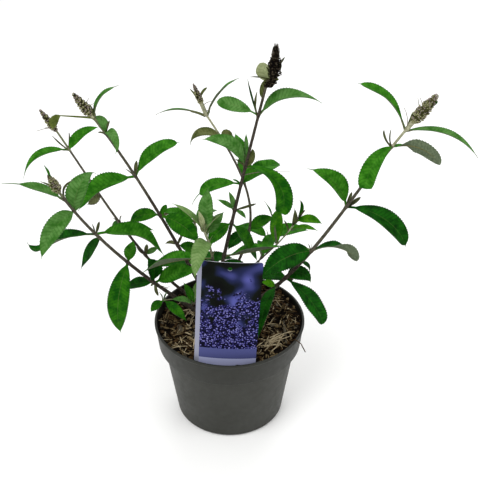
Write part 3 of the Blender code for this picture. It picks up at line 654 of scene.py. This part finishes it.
def cardPrint():
    # Printed polystyrene card: a smooth sheet with a soft gloss. The picture is a plain one, a bank
    # of small violet flowers on a dark blurred ground, with a pale edge and a bare violet band
    material, tree, shader, _ = startMaterial("printedPolystyrene", 0.6, 0.06)
    place = addNode(tree, "ShaderNodeUVMap", {"uv_map": "print"}).outputs["UV"]
    axes = addNode(tree, "ShaderNodeSeparateXYZ", links={"Vector": place})
    blur = addNode(tree, "ShaderNodeTexNoise", {"Scale": 2.1, "Detail": 1.0}, {"Vector": place})
    ground = addNode(tree, "ShaderNodeValToRGB", links={"Fac": blur.outputs["Fac"]})
    setRamp(ground, ((0.36, "#010201"), (0.48, "#060c06"), (0.55, "#1c2246"), (0.65, "#4c4f92")))
    # flowers crowd together low on the card and thin out upwards
    crowd = ranged(tree, axes.outputs["Y"], 0.75, 2.1, 0.25, -0.20)
    drift = addNode(
        tree, "ShaderNodeTexNoise", {"Scale": 3.2, "Detail": 3.0, "Roughness": 0.7}, {"Vector": place})
    mask = ranged(tree, calc(tree, "ADD", crowd, drift.outputs["Fac"]), 0.48, 0.54)
    florets = addNode(tree, "ShaderNodeTexVoronoi", {"Scale": 32.0, "Randomness": 0.9}, {"Vector": place})
    petals = addNode(tree, "ShaderNodeValToRGB", links={"Fac": florets.outputs["Distance"]})
    setRamp(petals, ((0.06, "#b0aed2"), (0.26, "#5e5d9b"), (0.42, "#2c2a68"), (0.58, "#03031a")))
    colour = mixed(tree, mask, ground.outputs["Color"], petals.outputs["Color"])
    for socket, limit, tint in label["bands"]:
        inside = calc(tree, "LESS_THAN", axes.outputs[socket], limit)
        colour = mixed(tree, inside, colour, toLinear(tint))
    tree.links.new(colour, shader.inputs["Base Color"])
    return material


def cardPlastic():
    # Bare polystyrene on the back and edges: cool white, half-gloss, faintly mottled
    wavy = {"Scale": 60.0, "Detail": 2.0}
    return mottled("whitePolystyrene", 0.35, 0.5, wavy, (0.3, 0.7), ("#a9aab6", "#b4b5c0"))


def makeLabel():
    work = bmesh.new()
    bmesh.ops.create_grid(work, x_segments=1, y_segments=1, size=0.5)
    height = label["top"] - label["foot"]
    bmesh.ops.scale(work, vec=(label["width"], height, 1), verts=work.verts)
    bmesh.ops.bevel(
        work, geom=work.verts[:], offset=label["cornerRound"], segments=5, profile=0.5, affect="VERTICES",
        material=-1)
    for index in range(1, label["strips"]):
        cut = (index / label["strips"] - 0.5) * label["width"]
        everything = work.verts[:] + work.edges[:] + work.faces[:]
        bmesh.ops.bisect_plane(work, geom=everything, plane_co=(cut, 0, 0), plane_no=(1, 0, 0))
    half = label["width"] / 2
    for vertex in work.verts:
        across, high = vertex.co.x, vertex.co.y + height / 2
        depth = label["bow"] * (across / half) ** 2
        vertex.co = (across, depth, label["foot"] - label["centre"][2] + high)
    work.normal_update()
    bmesh.ops.solidify(work, geom=work.faces[:], thickness=label["thick"])
    bmesh.ops.recalc_face_normals(work, faces=work.faces)
    work.normal_update()
    depths = [vertex.co.y - label["bow"] * (vertex.co.x / half) ** 2 for vertex in work.verts]
    middle = sum(depths) / len(depths)
    printed = work.loops.layers.uv.new("print")
    for face in work.faces:
        face.material_index = 0 if face.normal.y < -0.5 else 1
        for loop in face.loops:
            where = loop.vert.co
            level = (where.z - label["foot"] + label["centre"][2]) / label["width"]
            loop[printed].uv = (where.x / label["width"] + 0.5, level)
    bmesh.ops.translate(work, vec=(0, -middle, 0), verts=work.verts)
    lean = Matrix.Rotation(math.radians(label["lean"]), 3, "Y")
    bmesh.ops.rotate(work, verts=work.verts, cent=(0, 0, 0), matrix=lean)
    bmesh.ops.translate(work, vec=label["centre"], verts=work.verts)
    bmesh.ops.scale(work, vec=(mm, mm, mm), verts=work.verts)
    piece = finishPiece("plantLabel", work, [cardPrint(), cardPlastic()], ["label"])
    place = Vector((label["hole"][0], label["centre"][1], label["hole"][1])) * mm
    drills = bmesh.new()
    through = Matrix.Translation(place) @ Matrix.Rotation(math.pi / 2, 4, "X")
    addDrill(drills, label["holeRadius"], 10, through)
    bore(piece, drills)
    print("label: card with its print and its hang hole")


# Wood: the stump and its boughs, then the young shoots that grow on from them
stump = {
    "foot": (-17, 3, 116), "height": 28, "lean": (-0.03, 0.02), "rootDepth": 7,
    "radii": ((-0.2, 9.8), (0.0, 9.5), (0.08, 7.8), (0.25, 6.6), (0.6, 6.0), (0.9, 5.2), (1.0, 3.4)),
}
wood = {
    "pathSteps": 200, "ringStep": 1.6, "sides": 14, "relief": 0.22, "grain": (0.9, 0.9, 0.22),
    "nodeSwell": 0.28, "nodeReach": 2.4, "streak": 1.8,
}


def stemCurve(stem):  # fine points of a stem's path, in mm, with the length reached at each
    knots = [Vector(point) for point in stem["path"]]
    points, lengths = [], [0.0]
    for index in range(wood["pathSteps"] + 1):
        t = index / wood["pathSteps"]
        weights = ((1 - t) ** 3, 3 * t * (1 - t) ** 2, 3 * t * t * (1 - t), t**3)
        points.append(sum((knot * weight for knot, weight in zip(knots, weights)), Vector()))
    for first, second in zip(points, points[1:]):
        lengths.append(lengths[-1] + (second - first).length)
    return points, lengths


for stem in stems.values():
    stem["points"], stem["lengths"] = stemCurve(stem)


def placeOn(stem, share):  # a place on a stem's path, in mm
    points, lengths = stem["points"], stem["lengths"]
    wanted = min(share, 0.9999) * lengths[-1]
    low = max(index for index in range(len(points) - 1) if lengths[index] <= wanted)
    partWay = (wanted - lengths[low]) / (lengths[low + 1] - lengths[low])
    return points[low].lerp(points[low + 1], partWay)


def radiusOn(stem, share):  # tapers evenly, and swells where leaves join
    radius = (stem["thick"][0] * (1 - share) + stem["thick"][1] * share) / 2
    length = stem["lengths"][-1]
    swell = max(math.exp(-(((share - node) * length / wood["nodeReach"]) ** 2)) for node in stem["nodes"])
    return radius * (1 + wood["nodeSwell"] * swell)


for stem in stems.values():
    stem["nodes"] = sorted({leaf[0] for leaf in stem["leaves"]})


def tube(target, stations, sides, slots, relief=0.0):
    # a round limb through stations of (place, radius) in mm; slots gives each ring's material
    work = bmesh.new()
    ring = bmesh.ops.create_circle(work, cap_ends=True, segments=sides, radius=1.0)["verts"]
    pose = stationFrame(stations, 0)
    bmesh.ops.transform(work, matrix=pose, verts=ring)
    edges = [edge for edge in work.edges if len(edge.link_faces) < 2]
    for index in range(1, len(stations)):
        grown = bmesh.ops.extrude_edge_only(work, edges=edges)["geom"]
        ring = [item for item in grown if isinstance(item, bmesh.types.BMVert)]
        edges = [item for item in grown if isinstance(item, bmesh.types.BMEdge)]
        edges = [edge for edge in edges if edge.verts[0] in ring and edge.verts[1] in ring]
        after = stationFrame(stations, index, pose)
        bmesh.ops.transform(work, matrix=after @ pose.inverted(), verts=ring)
        pose = after
        for item in grown:
            if isinstance(item, bmesh.types.BMFace):
                item.material_index = slots[index] if slots else 0
    bmesh.ops.contextual_create(work, geom=edges)
    bmesh.ops.recalc_face_normals(work, faces=work.faces)
    if relief:
        work.normal_update()
        for vertex in work.verts:
            grain = Vector(part * rate for part, rate in zip(vertex.co, wood["grain"]))
            vertex.co += vertex.normal * relief * (noise.noise(grain) + 0.5 * noise.noise(grain * 2.3))
    bmesh.ops.scale(work, vec=(mm, mm, mm), verts=work.verts)
    absorb(target, work)


def stationFrame(stations, index, before=None):
    # the ring's own frame, turned from the last one as little as the bend allows
    place, radius = stations[index]
    low, high = stations[max(0, index - 1)][0], stations[min(len(stations) - 1, index + 1)][0]
    along = (high - low).normalized()
    side = along.orthogonal() if before is None else before.to_3x3() @ Vector((1, 0, 0))
    side = (side - along * side.dot(along)).normalized()
    facing = Matrix((side, along.cross(side), along)).transposed()
    return Matrix.Translation(place) @ facing.to_4x4() @ Matrix.Scale(max(radius, 0.02), 4)


def barkSkin(name, tones):
    # Thin shrub bark: smooth and dull, mottled finely in two tones with a slight relief
    streaks = {"Scale": 1000 / wood["streak"], "Detail": 4.0, "Roughness": 0.6}
    return mottled(name, 0.85, 0.15, streaks, (0.36, 0.62), tones, (0.5, 0.0003))


barkSkins = {
    "oldBark": ("#1b1711", "#463f36"),  # purplish brown-grey
    "shootBark": ("#2e2b22", "#575346"),  # paler, with some green in it
    "greenFelt": ("#4e5138", "#74775a"),  # grown this year, felted
    "creamFelt": ("#7b7b61", "#a8a88d"),  # the last joints under a spike
}
# shares where a shoot turns to shootBark, greenFelt and creamFelt
felted = {
    "low_left": (0.50, 0.97, 1.1), "far_left": (0.50, 0.90, 1.1), "mid_left": (0.60, 0.93, 1.1),
    "tall_back": (0.25, 0.84, 0.90), "tall_centre": (0.95, 1.1, 1.1), "right": (0.40, 0.78, 0.93),
    "right_back": (0.50, 0.72, 0.86), "young_front": (0.40, 0.74, 0.88),
}
plainFelted = (0.50, 0.85, 1.1)  # on every other stem


def stemStations(stem, start, end, taper=1.0):  # start and end as shares
    length = stem["lengths"][-1]
    count = max(3, round((end - start) * length / wood["ringStep"]))
    stations = []
    for index in range(count + 1):
        share = start + (end - start) * index / count
        stations.append((placeOn(stem, share), radiusOn(stem, share) * taper))
    return stations


def makeWood():
    materials = [barkSkin(name, tones) for name, tones in barkSkins.items()]
    work = bmesh.new()
    foot = Vector(stump["foot"])
    stations = []
    for share, radius in stump["radii"]:
        height = share * stump["height"]
        lean = Vector((stump["lean"][0] * height, stump["lean"][1] * height, height))
        stations.append((foot + lean, radius))
    finer = []
    for (first, wide), (second, narrow) in zip(stations, stations[1:]):
        finer += [(first.lerp(second, part / 4), wide + (narrow - wide) * part / 4) for part in range(4)]
    tube(work, finer + [stations[-1]], 24, None, relief=0.5)
    for name, stem in stems.items():
        start, radius = stem["points"][0], stem["thick"][0] / 2
        rise = max(0.15, min(0.85, (start.z - foot.z - stump["rootDepth"]) / stump["height"]))
        height = rise * stump["height"]
        root = foot + Vector((stump["lean"][0] * height, stump["lean"][1] * height, height))
        stations = [(root.lerp(start, part / 4), radius * (1.35 - 0.35 * part / 4)) for part in range(4)]
        stations += stemStations(stem, 0.0, stem["boughEnd"])
        tube(work, stations, wood["sides"], None, relief=wood["relief"])
    replaced = ["main_stem"] + ["bough_" + name for name in stems]
    finishPiece("woodyStems", work, materials[:1], replaced)

    work = bmesh.new()
    for name, stem in stems.items():
        stations = stemStations(stem, stem["boughEnd"] - 0.01, 1.0, 0.97)
        slots = []
        for index in range(len(stations)):
            share = stem["boughEnd"] + (1 - stem["boughEnd"]) * index / len(stations)
            slots.append(sum(share >= limit for limit in felted.get(name, plainFelted)))
        tube(work, stations, wood["sides"], slots, relief=wood["relief"] * 0.5)
    finishPiece("youngShoots", work, materials, ["foliage_" + name for name in stems])
    print("wood: stump, boughs and shoots")


# Leaves: lance-shaped, quilted by sunken side veins, finely toothed, felted beneath.
# fold lifts both halves, tip under 1 is blunt, tail is the share drawn out as a thread. hook bends
# the end down from hookFrom on, twist turns the blade between twistFrom and twistTo. least is the
# petiole's share of the width, and lip curls the edge down from lipFrom on. A leaf's row can
# change any of these, and it can set what leafChance would draw
blade = {
    "across": 14, "rowStep": 1.25, "fewRows": 14, "thick": 0.42, "fold": 0.32, "petiole": 0.10,
    "tip": 1.0, "tail": 0.04, "shoulder": 0.75, "least": 0.14, "lip": 0.5, "lipFrom": 0.78,
    "veinGap": 3.6, "veinSlant": 1.5, "veinDepth": 0.62, "tooth": 0.05, "toothed": (0.16, 0.97),
    "rib": 0.07, "ribDepth": 0.28, "hook": 0.0, "hookFrom": 0.68, "hookPower": 1.5,
    "twist": 0.0, "twistFrom": 0.0, "twistTo": 1.0, "wave": 0.05, "phase": 0.0, "stalk": 1.0,
    "mapLength": 50, "seed": 5,
}
leafChance = {"twist": (-14, 14), "hook": (0, 6), "wave": (0.03, 0.10), "phase": (0, 6)}
leafColours = {
    # darker and lighter patches, and the painted shade of the sunken veins, which also darkens the edge
    "deep": ("#042e02", "#155309", "#021f01"),
    "mid": ("#0d4703", "#2e6b0b", "#052f01"),
    "fresh": ("#195602", "#3b7b1a", "#0b3f01"),
    "young": ("#2f601b", "#54803f", "#1d4a0f"),
    "pale": ("#54743a", "#718c55", "#3f5e27"),
    "olive": ("#3a461b", "#5f653b", "#272f10"),
    "moss": ("#3e4a1c", "#636f33", "#2e3814"),
    "lime": ("#236303", "#458208", "#124401"),
    "umber": ("#2c2e1b", "#595e3d", "#20220e"),
    "chalk": ("#70784f", "#959d75", "#565e38"),
}
# Leaflets and bracts: share, heading, rise, length, width, bend, kind, and for some their roll.
# A share past 1 is up the spike
leaflets = {
    "low_left": (
        (1.72, 180, 73, 17, 6.0, 0, "mid", 30), (1.00, 178, 36, 21, 5.5, 20, "olive", 30),
        (0.70, 40, 66, 14, 3.5, -25, "umber"), (0.70, 150, 74, 12, 3.4, 0, "umber"),
        (0.47, 150, 20, 9, 3.2, 20, "umber"), (0.47, 60, 70, 8, 3.0, 10, "mid"),
        (0.30, -60, -60, 15, 4.6, 0, "umber"), (0.30, 150, -50, 8, 3.0, 0, "umber"),
    ),
    "far_left": (
        (0.91, 174, 43, 24, 4.8, -36, "umber"), (0.91, 96, 30, 23, 3.2, 28, "umber"),
        (0.72, 160, 15, 10, 4.0, 20, "umber"), (0.72, 60, 65, 14, 3.4, 0, "mid"),
        (0.54, -30, 70, 11, 3.0, 25, "umber"), (0.54, 150, 20, 9, 3.2, 10, "umber"),
        (0.36, 60, 70, 13, 4.5, 0, "umber"),
    ),
    "mid_left": (
        (1.00, 165, 80, 15, 3.0, 25, "umber"), (1.00, 20, 76, 14, 2.6, 25, "umber"),
        (1.00, 165, 20, 12, 6.0, 20, "moss"), (1.02, 175, 35, 14, 4.0, 10, "umber"),
        (0.92, 10, 70, 15, 3.2, 0, "umber"), (0.92, 170, 5, 8, 3.0, 0, "umber"),
        (0.70, 20, 82, 18, 4.0, 5, "umber"), (0.70, 165, 35, 13, 3.2, 0, "umber"),
        (0.49, 30, 55, 14, 6.0, 15, "mid"), (0.49, 5, 15, 9, 2.6, 10, "umber"),
        (0.33, 30, 62, 13, 3.0, 15, "umber"),
    ),
    "tall_back": (
        (1.28, 178, 57, 25, 4.6, 0, "olive", 40), (1.50, 0, 60, 17, 3.6, 40, "olive", 40),
        (0.86, 20, 60, 9, 4.0, 20, "mid"),
    ),
    "tall_centre": (
        (0.88, 150, 71, 38, 4.4, -23, "deep"), (0.88, 162, 87, 26, 6.0, -61, "umber"),
        (0.66, 9, 70, 22, 6.5, -76, "olive", 50), (0.66, 160, 30, 13, 4.0, 10, "umber"),
        (1.30, 0, 50, 23, 2.6, -20, "umber"), (1.20, 175, 2, 18, 3.0, 10, "umber"),
        (1.12, 140, 61, 19, 14.0, 15, "chalk", -60), (0.95, 5, 52, 28, 11.0, 95, "olive", -55),
        (0.46, -8, 23, 25, 2.8, -4, "umber"), (0.58, 170, 30, 10, 3.2, 10, "mid"),
    ),
    "right": (
        (1.58, 0, 36, 15, 5.0, 0, "mid", 40), (1.45, 10, 20, 10, 3.0, 0, "umber"),
        (1.20, 0, 10, 9, 3.2, 30, "umber"), (1.00, 30, 70, 19, 3.0, -20, "chalk"),
        (0.93, 174, 62, 21, 3.2, -71, "umber"), (0.93, 160, 82, 19, 3.0, -53, "umber"),
        (0.66, 30, 70, 17, 3.4, 0, "umber"), (0.66, 5, 38, 18, 4.2, -20, "umber"),
        (0.44, 140, 60, 9, 2.4, 0, "umber"), (0.44, 170, 30, 7, 2.4, 20, "pale"),
        (0.29, 0, -20, 9, 4.0, 20, "umber"), (0.38, 35, -55, 23, 6.5, 50, "deep"),
    ),
    "right_back": (
        (0.98, 20, 50, 18, 2.2, 0, "umber"), (0.88, 150, 62, 14, 4.0, 0, "umber"),
    ),
}
leafletShape = {"petiole": 0.0, "fold": 0.5, "tail": 0.0, "tip": 0.6, "tooth": 0.0}
axilShape = {"petiole": 0.02, "tooth": 0.0}  # of the pair at each joint of a stem without a list
# Bristles and tendrils: share, heading, rise, length, bend
threads = {
    "far_left": ((1.15, 185, -10, 20, 35), (1.20, 200, 5, 9, -10)),
    "mid_left": ((1.45, 10, 60, 11, 15), (1.38, 0, 35, 10, 10)),
    "tall_back": ((1.30, 0, 25, 14, 45), (1.10, 10, 20, 9, 30)),
    "tall_centre": (
        (1.68, 0, 30, 7, 25), (1.60, 10, 50, 8, -10), (1.45, -10, 60, 10, 20), (0.62, 21, -7, 53, 25)),
    "right": ((1.02, 120, 72, 22, 60), (1.45, 120, 70, 16, 10), (1.60, 150, 62, 12, 0), (0.44, 80, 70, 8, 0)),
    "low_left": ((0.28, -20, -10, 12, 40), (0.26, 0, 10, 10, -60)),
}


def leafSkin(name, tones):
    # Upper skin: a puckered blade under thin wax, so it is dull. The side veins are sunken, with painted
    # shade in them, the edge is darker, the midrib is paler, and the net of small veins shows as pits about 1
    # mm apart
    material, tree, shader, coords = startMaterial(name, 0.6, 0.05)
    patches = {"Scale": 120.0, "Detail": 4.0, "Roughness": 0.6}
    colour = addTint(tree, coords, patches, (0.36, 0.62), tones)[1]
    place = addNode(tree, "ShaderNodeUVMap", {"uv_map": "blade"}).outputs["UV"]
    axes = addNode(tree, "ShaderNodeSeparateXYZ", links={"Vector": place})
    # how far off the midrib, then how far from the nearest side vein
    off = calc(tree, "ABSOLUTE", calc(tree, "MULTIPLY_ADD", axes.outputs["X"], 2.0, -1.0))
    slant = calc(tree, "MULTIPLY", off, -blade["veinSlant"])
    phase = calc(tree, "MULTIPLY_ADD", axes.outputs["Y"], blade["mapLength"] / blade["veinGap"], slant)
    apart = calc(tree, "PINGPONG", phase, 0.5)
    lines = (
        # what is measured, from, to, strength at each end, tone
        # painted shade along the sunken side veins
        (apart, 0.0, 0.22, 0.45, 0.0, tones[2]),
        # darker towards the edge
        (off, 0.84, 1.0, 0.0, 0.5, tones[2]),
        (off, 0.02, 0.09, 0.14, 0.0, "#5f7a3a"),
    )
    for source, start, end, low, high, tone in lines:
        strength = ranged(tree, source, start, end, low, high)
        colour = mixed(tree, strength, colour, toLinear(tone))
    tree.links.new(colour, shader.inputs["Base Color"])
    net = addNode(tree, "ShaderNodeTexVoronoi", {"Scale": 800.0}, {"Vector": coords})
    addBump(tree, shader, net.outputs["Distance"], 0.35, 0.0003, invert=True)
    return material


def feltSkin(name, tones):
    # Felt of fine white hairs: chalky and very rough
    hairs = {"Scale": 600.0, "Detail": 4.0}
    return mottled(name, 0.95, 0.08, hairs, (0.36, 0.64), tones, (0.4, 0.0002))


def bladeSpread(share, look):  # half width at a share of the length, 1 at the widest
    t = min(1.0, max(0.0, share - look["petiole"]) / (1 - look["petiole"] - look["tail"]))
    shoulder, tip = look["shoulder"], look["tip"]
    peak = shoulder / (shoulder + tip)
    full = peak**shoulder * (1 - peak) ** tip
    return max(t**shoulder * (1 - t) ** tip / full, look["least"] * (1 - share) ** 0.45)


def leafSpine(base, leaf, look, rows):  # place, side and top of each row, in mm
    heading, rise, bend, roll = (math.radians(leaf[index]) for index in (1, 2, 5, 6))
    flat = Vector((math.cos(heading), math.sin(heading), 0))
    across = Vector((-math.sin(heading), math.cos(heading), 0))
    spine, place = [], base.copy()
    for row in range(rows + 1):
        share = row / rows
        slopes = []
        for at in (share, share + 0.5 / rows):
            curl = max(0.0, min(1.0, at) - look["hookFrom"]) / (1 - look["hookFrom"])
            slopes.append(rise + bend * (0.5 - at) - math.radians(look["hook"]) * curl ** look["hookPower"])
        along = flat * math.cos(slopes[0]) + up * math.sin(slopes[0])
        twisted = (share - look["twistFrom"]) / (look["twistTo"] - look["twistFrom"])
        twisted = min(1.0, max(0.0, twisted))
        side = Matrix.Rotation(roll + math.radians(look["twist"]) * twisted, 3, along) @ across
        spine.append((place.copy(), side, along.cross(side)))
        place += (flat * math.cos(slopes[1]) + up * math.sin(slopes[1])) * leaf[3] / rows
    return spine


def growLeaf(target, base, leaf, slots, shape, across=None):
    # slots: material numbers of top and underside; shape: what differs from the blade table
    look = {**blade, **shape}
    across = across or look["across"]
    length, width = leaf[3], leaf[4]
    rows = max(look["fewRows"], round(length / look["rowStep"])) if across > 4 else 8
    spine = leafSpine(base, leaf, look, rows)
    work = bmesh.new()
    mapped = work.loops.layers.uv.new("blade")
    bmesh.ops.create_grid(work, x_segments=across, y_segments=rows, size=1, calc_uvs=True)
    inner, rib = 2 / across, look["rib"]
    for vertex in work.verts:
        across01, share = vertex.co.x, (vertex.co.y + 1) / 2
        row = round(share * rows)
        off = abs(across01)
        off = off * rib / inner if off <= inner else rib + (off - inner) / (1 - inner) * (1 - rib)
        spread = bladeSpread(share, look)
        half = width / 2 * spread
        if off > 0.99 and look["toothed"][0] < share < look["toothed"][1]:
            half *= 1 + look["tooth"] * (1 if row % 2 else -1)
        lift = look["fold"] * half * min(1, spread) * off**1.3
        lift -= look["lip"] * half * max(0.0, off - look["lipFrom"]) ** 1.5
        vein = abs(math.sin(math.pi * (share * length / look["veinGap"] - off * look["veinSlant"])))
        room = min(1, off / 0.22) * (1 - off**5) * min(1, half / 5)
        lift += look["veinDepth"] * (vein**0.8 - 0.6) * room
        lift += look["wave"] * half * off * off * math.sin(share * 11 + look["phase"] + (across01 > 0) * 1.6)
        if off <= rib + 0.001:
            lift -= look["ribDepth"] * (1 - share) * (1 - off / rib)
        place, side, top = spine[row]
        vertex.co = place - side * math.copysign(off, across01) * half + top * lift
    work.normal_update()
    skins = work.faces[:]
    facing = skins[0].normal.copy()
    bmesh.ops.solidify(work, geom=skins, thickness=look["thick"] * min(1, 0.35 + width / 14))
    work.normal_update()
    originals = set(skins)
    sameSide = skins[0].normal.dot(facing) > 0
    corners = {vertex for face in skins for vertex in face.verts}
    for face in work.faces:
        own = sum(vertex in corners for vertex in face.verts)
        isRim = 0 < own < len(face.verts)
        onTop = (face in originals) == sameSide
        face.material_index = slots[0] if onTop and not isRim else slots[1]
        for loop in face.loops:
            loop[mapped].uv.y *= length / look["mapLength"]
    bmesh.ops.scale(work, vec=(mm, mm, mm), verts=work.verts)
    absorb(target, work)
    return spine


def growRib(target, spine, width, slot, stalk):  # the raised rib under a leaf, which is its stalk at the foot
    stations = []
    last = round((len(spine) - 1) * 0.9)
    for index in range(0, last + 1, 2):
        place, _, top = spine[index]
        share = index / (len(spine) - 1)
        radius = stalk * (0.30 + width * 0.026) * (1 - share) ** 0.8 + 0.08
        stations.append((place - top * (0.9 * radius + blade["ribDepth"] * (1 - share)), radius))
    tube(target, stations, 6, [slot] * len(stations))


def placePast(stem, share):  # a place on a stem, or past 1 the share of the way up its spike
    if share < 1 or "spike" not in stem:
        return placeOn(stem, share)
    return stem["points"][-1] + Vector(stem["spike"][0]) * (share - 1)


def makeLeaves():
    rng = random.Random(blade["seed"])
    skins = {kind: leafSkin(kind + "Leaf", tones) for kind, tones in leafColours.items()}
    felt = feltSkin("greyFelt", ("#4a5541", "#606c54"))
    paleFelt = feltSkin("paleFelt", ("#5f6848", "#7b8160"))
    ribSkin = feltSkin("ribFelt", ("#50522f", "#6c6c4a"))
    bristle = feltSkin("dryBristle", ("#5a5348", "#7c7466"))
    kinds = list(skins)
    materials = list(skins.values()) + [felt, paleFelt, ribSkin, bristle]
    feltSlot, paleSlot, ribSlot, bristleSlot = range(len(kinds), len(kinds) + 4)
    for name, stem in stems.items():
        work = bmesh.new()
        work.loops.layers.uv.new("blade")
        for leaf in stem["leaves"]:
            under = paleSlot if leaf[7] == "pale" else feltSlot
            shape = {key: rng.uniform(*span) for key, span in leafChance.items()}
            shape.update(*leaf[8:])
            spine = growLeaf(work, placeOn(stem, leaf[0]), leaf, (kinds.index(leaf[7]), under), shape)
            growRib(work, spine, leaf[4], ribSlot, shape.get("stalk", blade["stalk"]))
        for share, heading, rise, length, width, bend, kind, *roll in leaflets.get(name, ()):
            leaf = (share, heading, rise, length, width, bend, roll[0] if roll else rng.uniform(20, 70))
            wide = 4 if width < 5 else 10
            skin = kinds.index(kind)
            growLeaf(work, placePast(stem, share), leaf, (skin, skin), leafletShape, wide)
        if name not in leaflets:
            for share in stem["nodes"]:
                for turn in (0, 180):
                    length = rng.uniform(8, 13)
                    heading, rise = turn + rng.uniform(-50, 50), rng.uniform(55, 80)
                    leaf = (share, heading, rise, length, length * 0.25, 15, 0)
                    growLeaf(work, placeOn(stem, share), leaf, (kinds.index("mid"), paleSlot), axilShape, 4)
        for share, heading, rise, length, bend in threads.get(name, ()):
            look = {**blade, "hook": rng.uniform(-20, 20)}
            spine = leafSpine(placePast(stem, share), (share, heading, rise, length, 0, bend, 0), look, 10)
            stations = [(point[0], 0.50 - 0.025 * order) for order, point in enumerate(spine)]
            tube(work, stations, 5, [bristleSlot] * len(stations))
        finishPiece("leaves_" + name, work, materials, ["foliage_" + name])
    print("leaves: grown on", len(stems), "stems")


# Flower spikes still in bud: close rows of small felted buds over a core in painted shade
spike = {
    "row": 1.6, "budWide": 1.85, "budLong": 2.5, "budFill": 0.76, "core": 0.70, "seed": 11, "parts": 24,
    # share of the way up, and share of the full girth
    "cone": ((0.0, 0.45), (0.10, 0.78), (0.25, 1.0), (0.50, 0.92), (0.75, 0.70), (0.92, 0.46), (1.0, 0.30)),
    "dried": (
        (0.0, 0.30), (0.04, 0.82), (0.13, 0.80), (0.19, 0.38), (0.27, 0.78), (0.40, 1.0), (0.58, 0.92),
        (0.70, 0.62), (0.86, 0.52), (1.0, 0.34)),
}
spikeForms = {
    # share of the reach where the buds begin, radius of its bare stalk, outline, raggedness, sideways bow
    "low_left": (0.05, 1.2, "cone", 0.08, 0.0), "far_left": (0.02, 1.2, "cone", 0.08, 0.0),
    "mid_left": (0.12, 1.6, "cone", 0.08, 0.0), "tall_back": (0.34, 2.4, "cone", 0.08, 0.0),
    "tall_centre": (0.0, 1.4, "dried", 0.17, 4.2), "right": (0.24, 2.4, "cone", 0.12, 0.0),
}
budColours = {
    # body, painted shade, dry tips
    "olive": (("#78774f", "#a8a680"), ("#1a1a0a", "#34341c"), ("#776963", "#9d918a")),
    "greyGreen": (("#7a7b54", "#abaa83"), ("#32331b", "#4e4f2e"), ("#7d7069", "#a2978f")),
    "umber": (("#0e0804", "#30291a"), ("#020202", "#0e0905"), ("#2e2820", "#574e40")),
}


def girthAt(profile, share):  # between the corners of a spike's outline
    for (low, first), (high, second) in zip(profile, profile[1:]):
        if share <= high:
            return first + (second - first) * (share - low) / (high - low)
    return profile[-1][1]


def makeSpikes():
    rng = random.Random(spike["seed"])
    looks = list(budColours)
    materials = []
    for look in looks:
        for index, tones in enumerate(budColours[look]):
            materials.append(feltSkin(f"{look}Bud{index}", tones))
    materials.append(feltSkin("spikeStalk", barkSkins["creamFelt"]))
    work = bmesh.new()
    for name, stem in stems.items():
        if "spike" not in stem:
            continue
        reach, girth = stem["spike"]
        begin, stalkRadius, outline, ragged, bow = spikeForms[name]
        profile = spike[outline]
        top = stem["points"][-1]
        tip = top + Vector(reach)
        foot = top.lerp(tip, begin)
        axis = (tip - top).normalized()
        side = axis.orthogonal().normalized()
        length = (tip - foot).length
        first = looks.index(stem["look"]) * 3
        if begin > 0.1:
            stalk = [(top.lerp(tip, begin * part / 4), stalkRadius) for part in range(6)]
            tube(work, stalk, 8, [len(materials) - 1] * 6)
        line, core = [], []
        for part in range(spike["parts"] + 1):
            share = part / spike["parts"]
            aside = bow * math.sin(math.pi * math.sqrt(share))
            line.append(foot.lerp(tip, share) + Vector((aside, 0, 0)))
            core.append((line[part], girth / 2 * girthAt(profile, share) * spike["core"]))
        # the core takes the shaded tone: painted shade between the buds
        tube(work, core[:-1], 10, [first + 1] * spike["parts"])
        rows = round(length / spike["row"])
        for row in range(rows + 1):
            share = row / rows
            radius = girth / 2 * girthAt(profile, share)
            count = max(4, round(math.tau * radius / spike["budWide"]))
            for index in range(count):
                turn = math.tau * (index + 0.5 * (row % 2)) / count + rng.uniform(-0.12, 0.12)
                out = Matrix.Rotation(turn, 3, axis) @ side
                lobes = noise.noise(out * 1.4 + Vector((0, 0, share * length / 3.2)))
                wide = radius * (1 + ragged * 2 * lobes + rng.uniform(-ragged, ragged) * 0.5)
                lift = math.radians(18 + 50 * share)
                point = (out * math.cos(lift) + axis * math.sin(lift)).normalized()
                long = spike["budLong"] * (1 - 0.35 * share) * rng.uniform(0.85, 1.15)
                thick = spike["budWide"] * spike["budFill"] * (1 - 0.25 * share) * rng.uniform(0.85, 1.0)
                place = line[round(share * spike["parts"])] + out * max(0.0, wide - long * 0.35)
                facing = point.to_track_quat("Z", "Y").to_matrix().to_4x4()
                shape = Matrix.Diagonal((thick / 2 * mm, thick / 2 * mm, long / 2 * mm, 1))
                bud = bmesh.new()
                bmesh.ops.create_uvsphere(
                    bud, u_segments=6, v_segments=4, radius=1.0,
                    matrix=Matrix.Translation(place * mm) @ facing @ shape)
                # some buds take the shaded tone, as painted shade among the buds
                odds = (50, 25, 25) if share < 0.75 else (25, 15, 60)
                slot = first + rng.choices((0, 1, 2), odds)[0]
                for face in bud.faces:
                    face.material_index = slot
                absorb(work, bud)
    replaced = ["foliage_" + name for name in stems if "spike" in stems[name]]
    finishPiece("flowerSpikes", work, materials, replaced)
    print("spikes: in bud")


makeCamera()
makeStudio()
makePot()
makeSoil()
makeLabel()
makeWood()
makeLeaves()
makeSpikes()
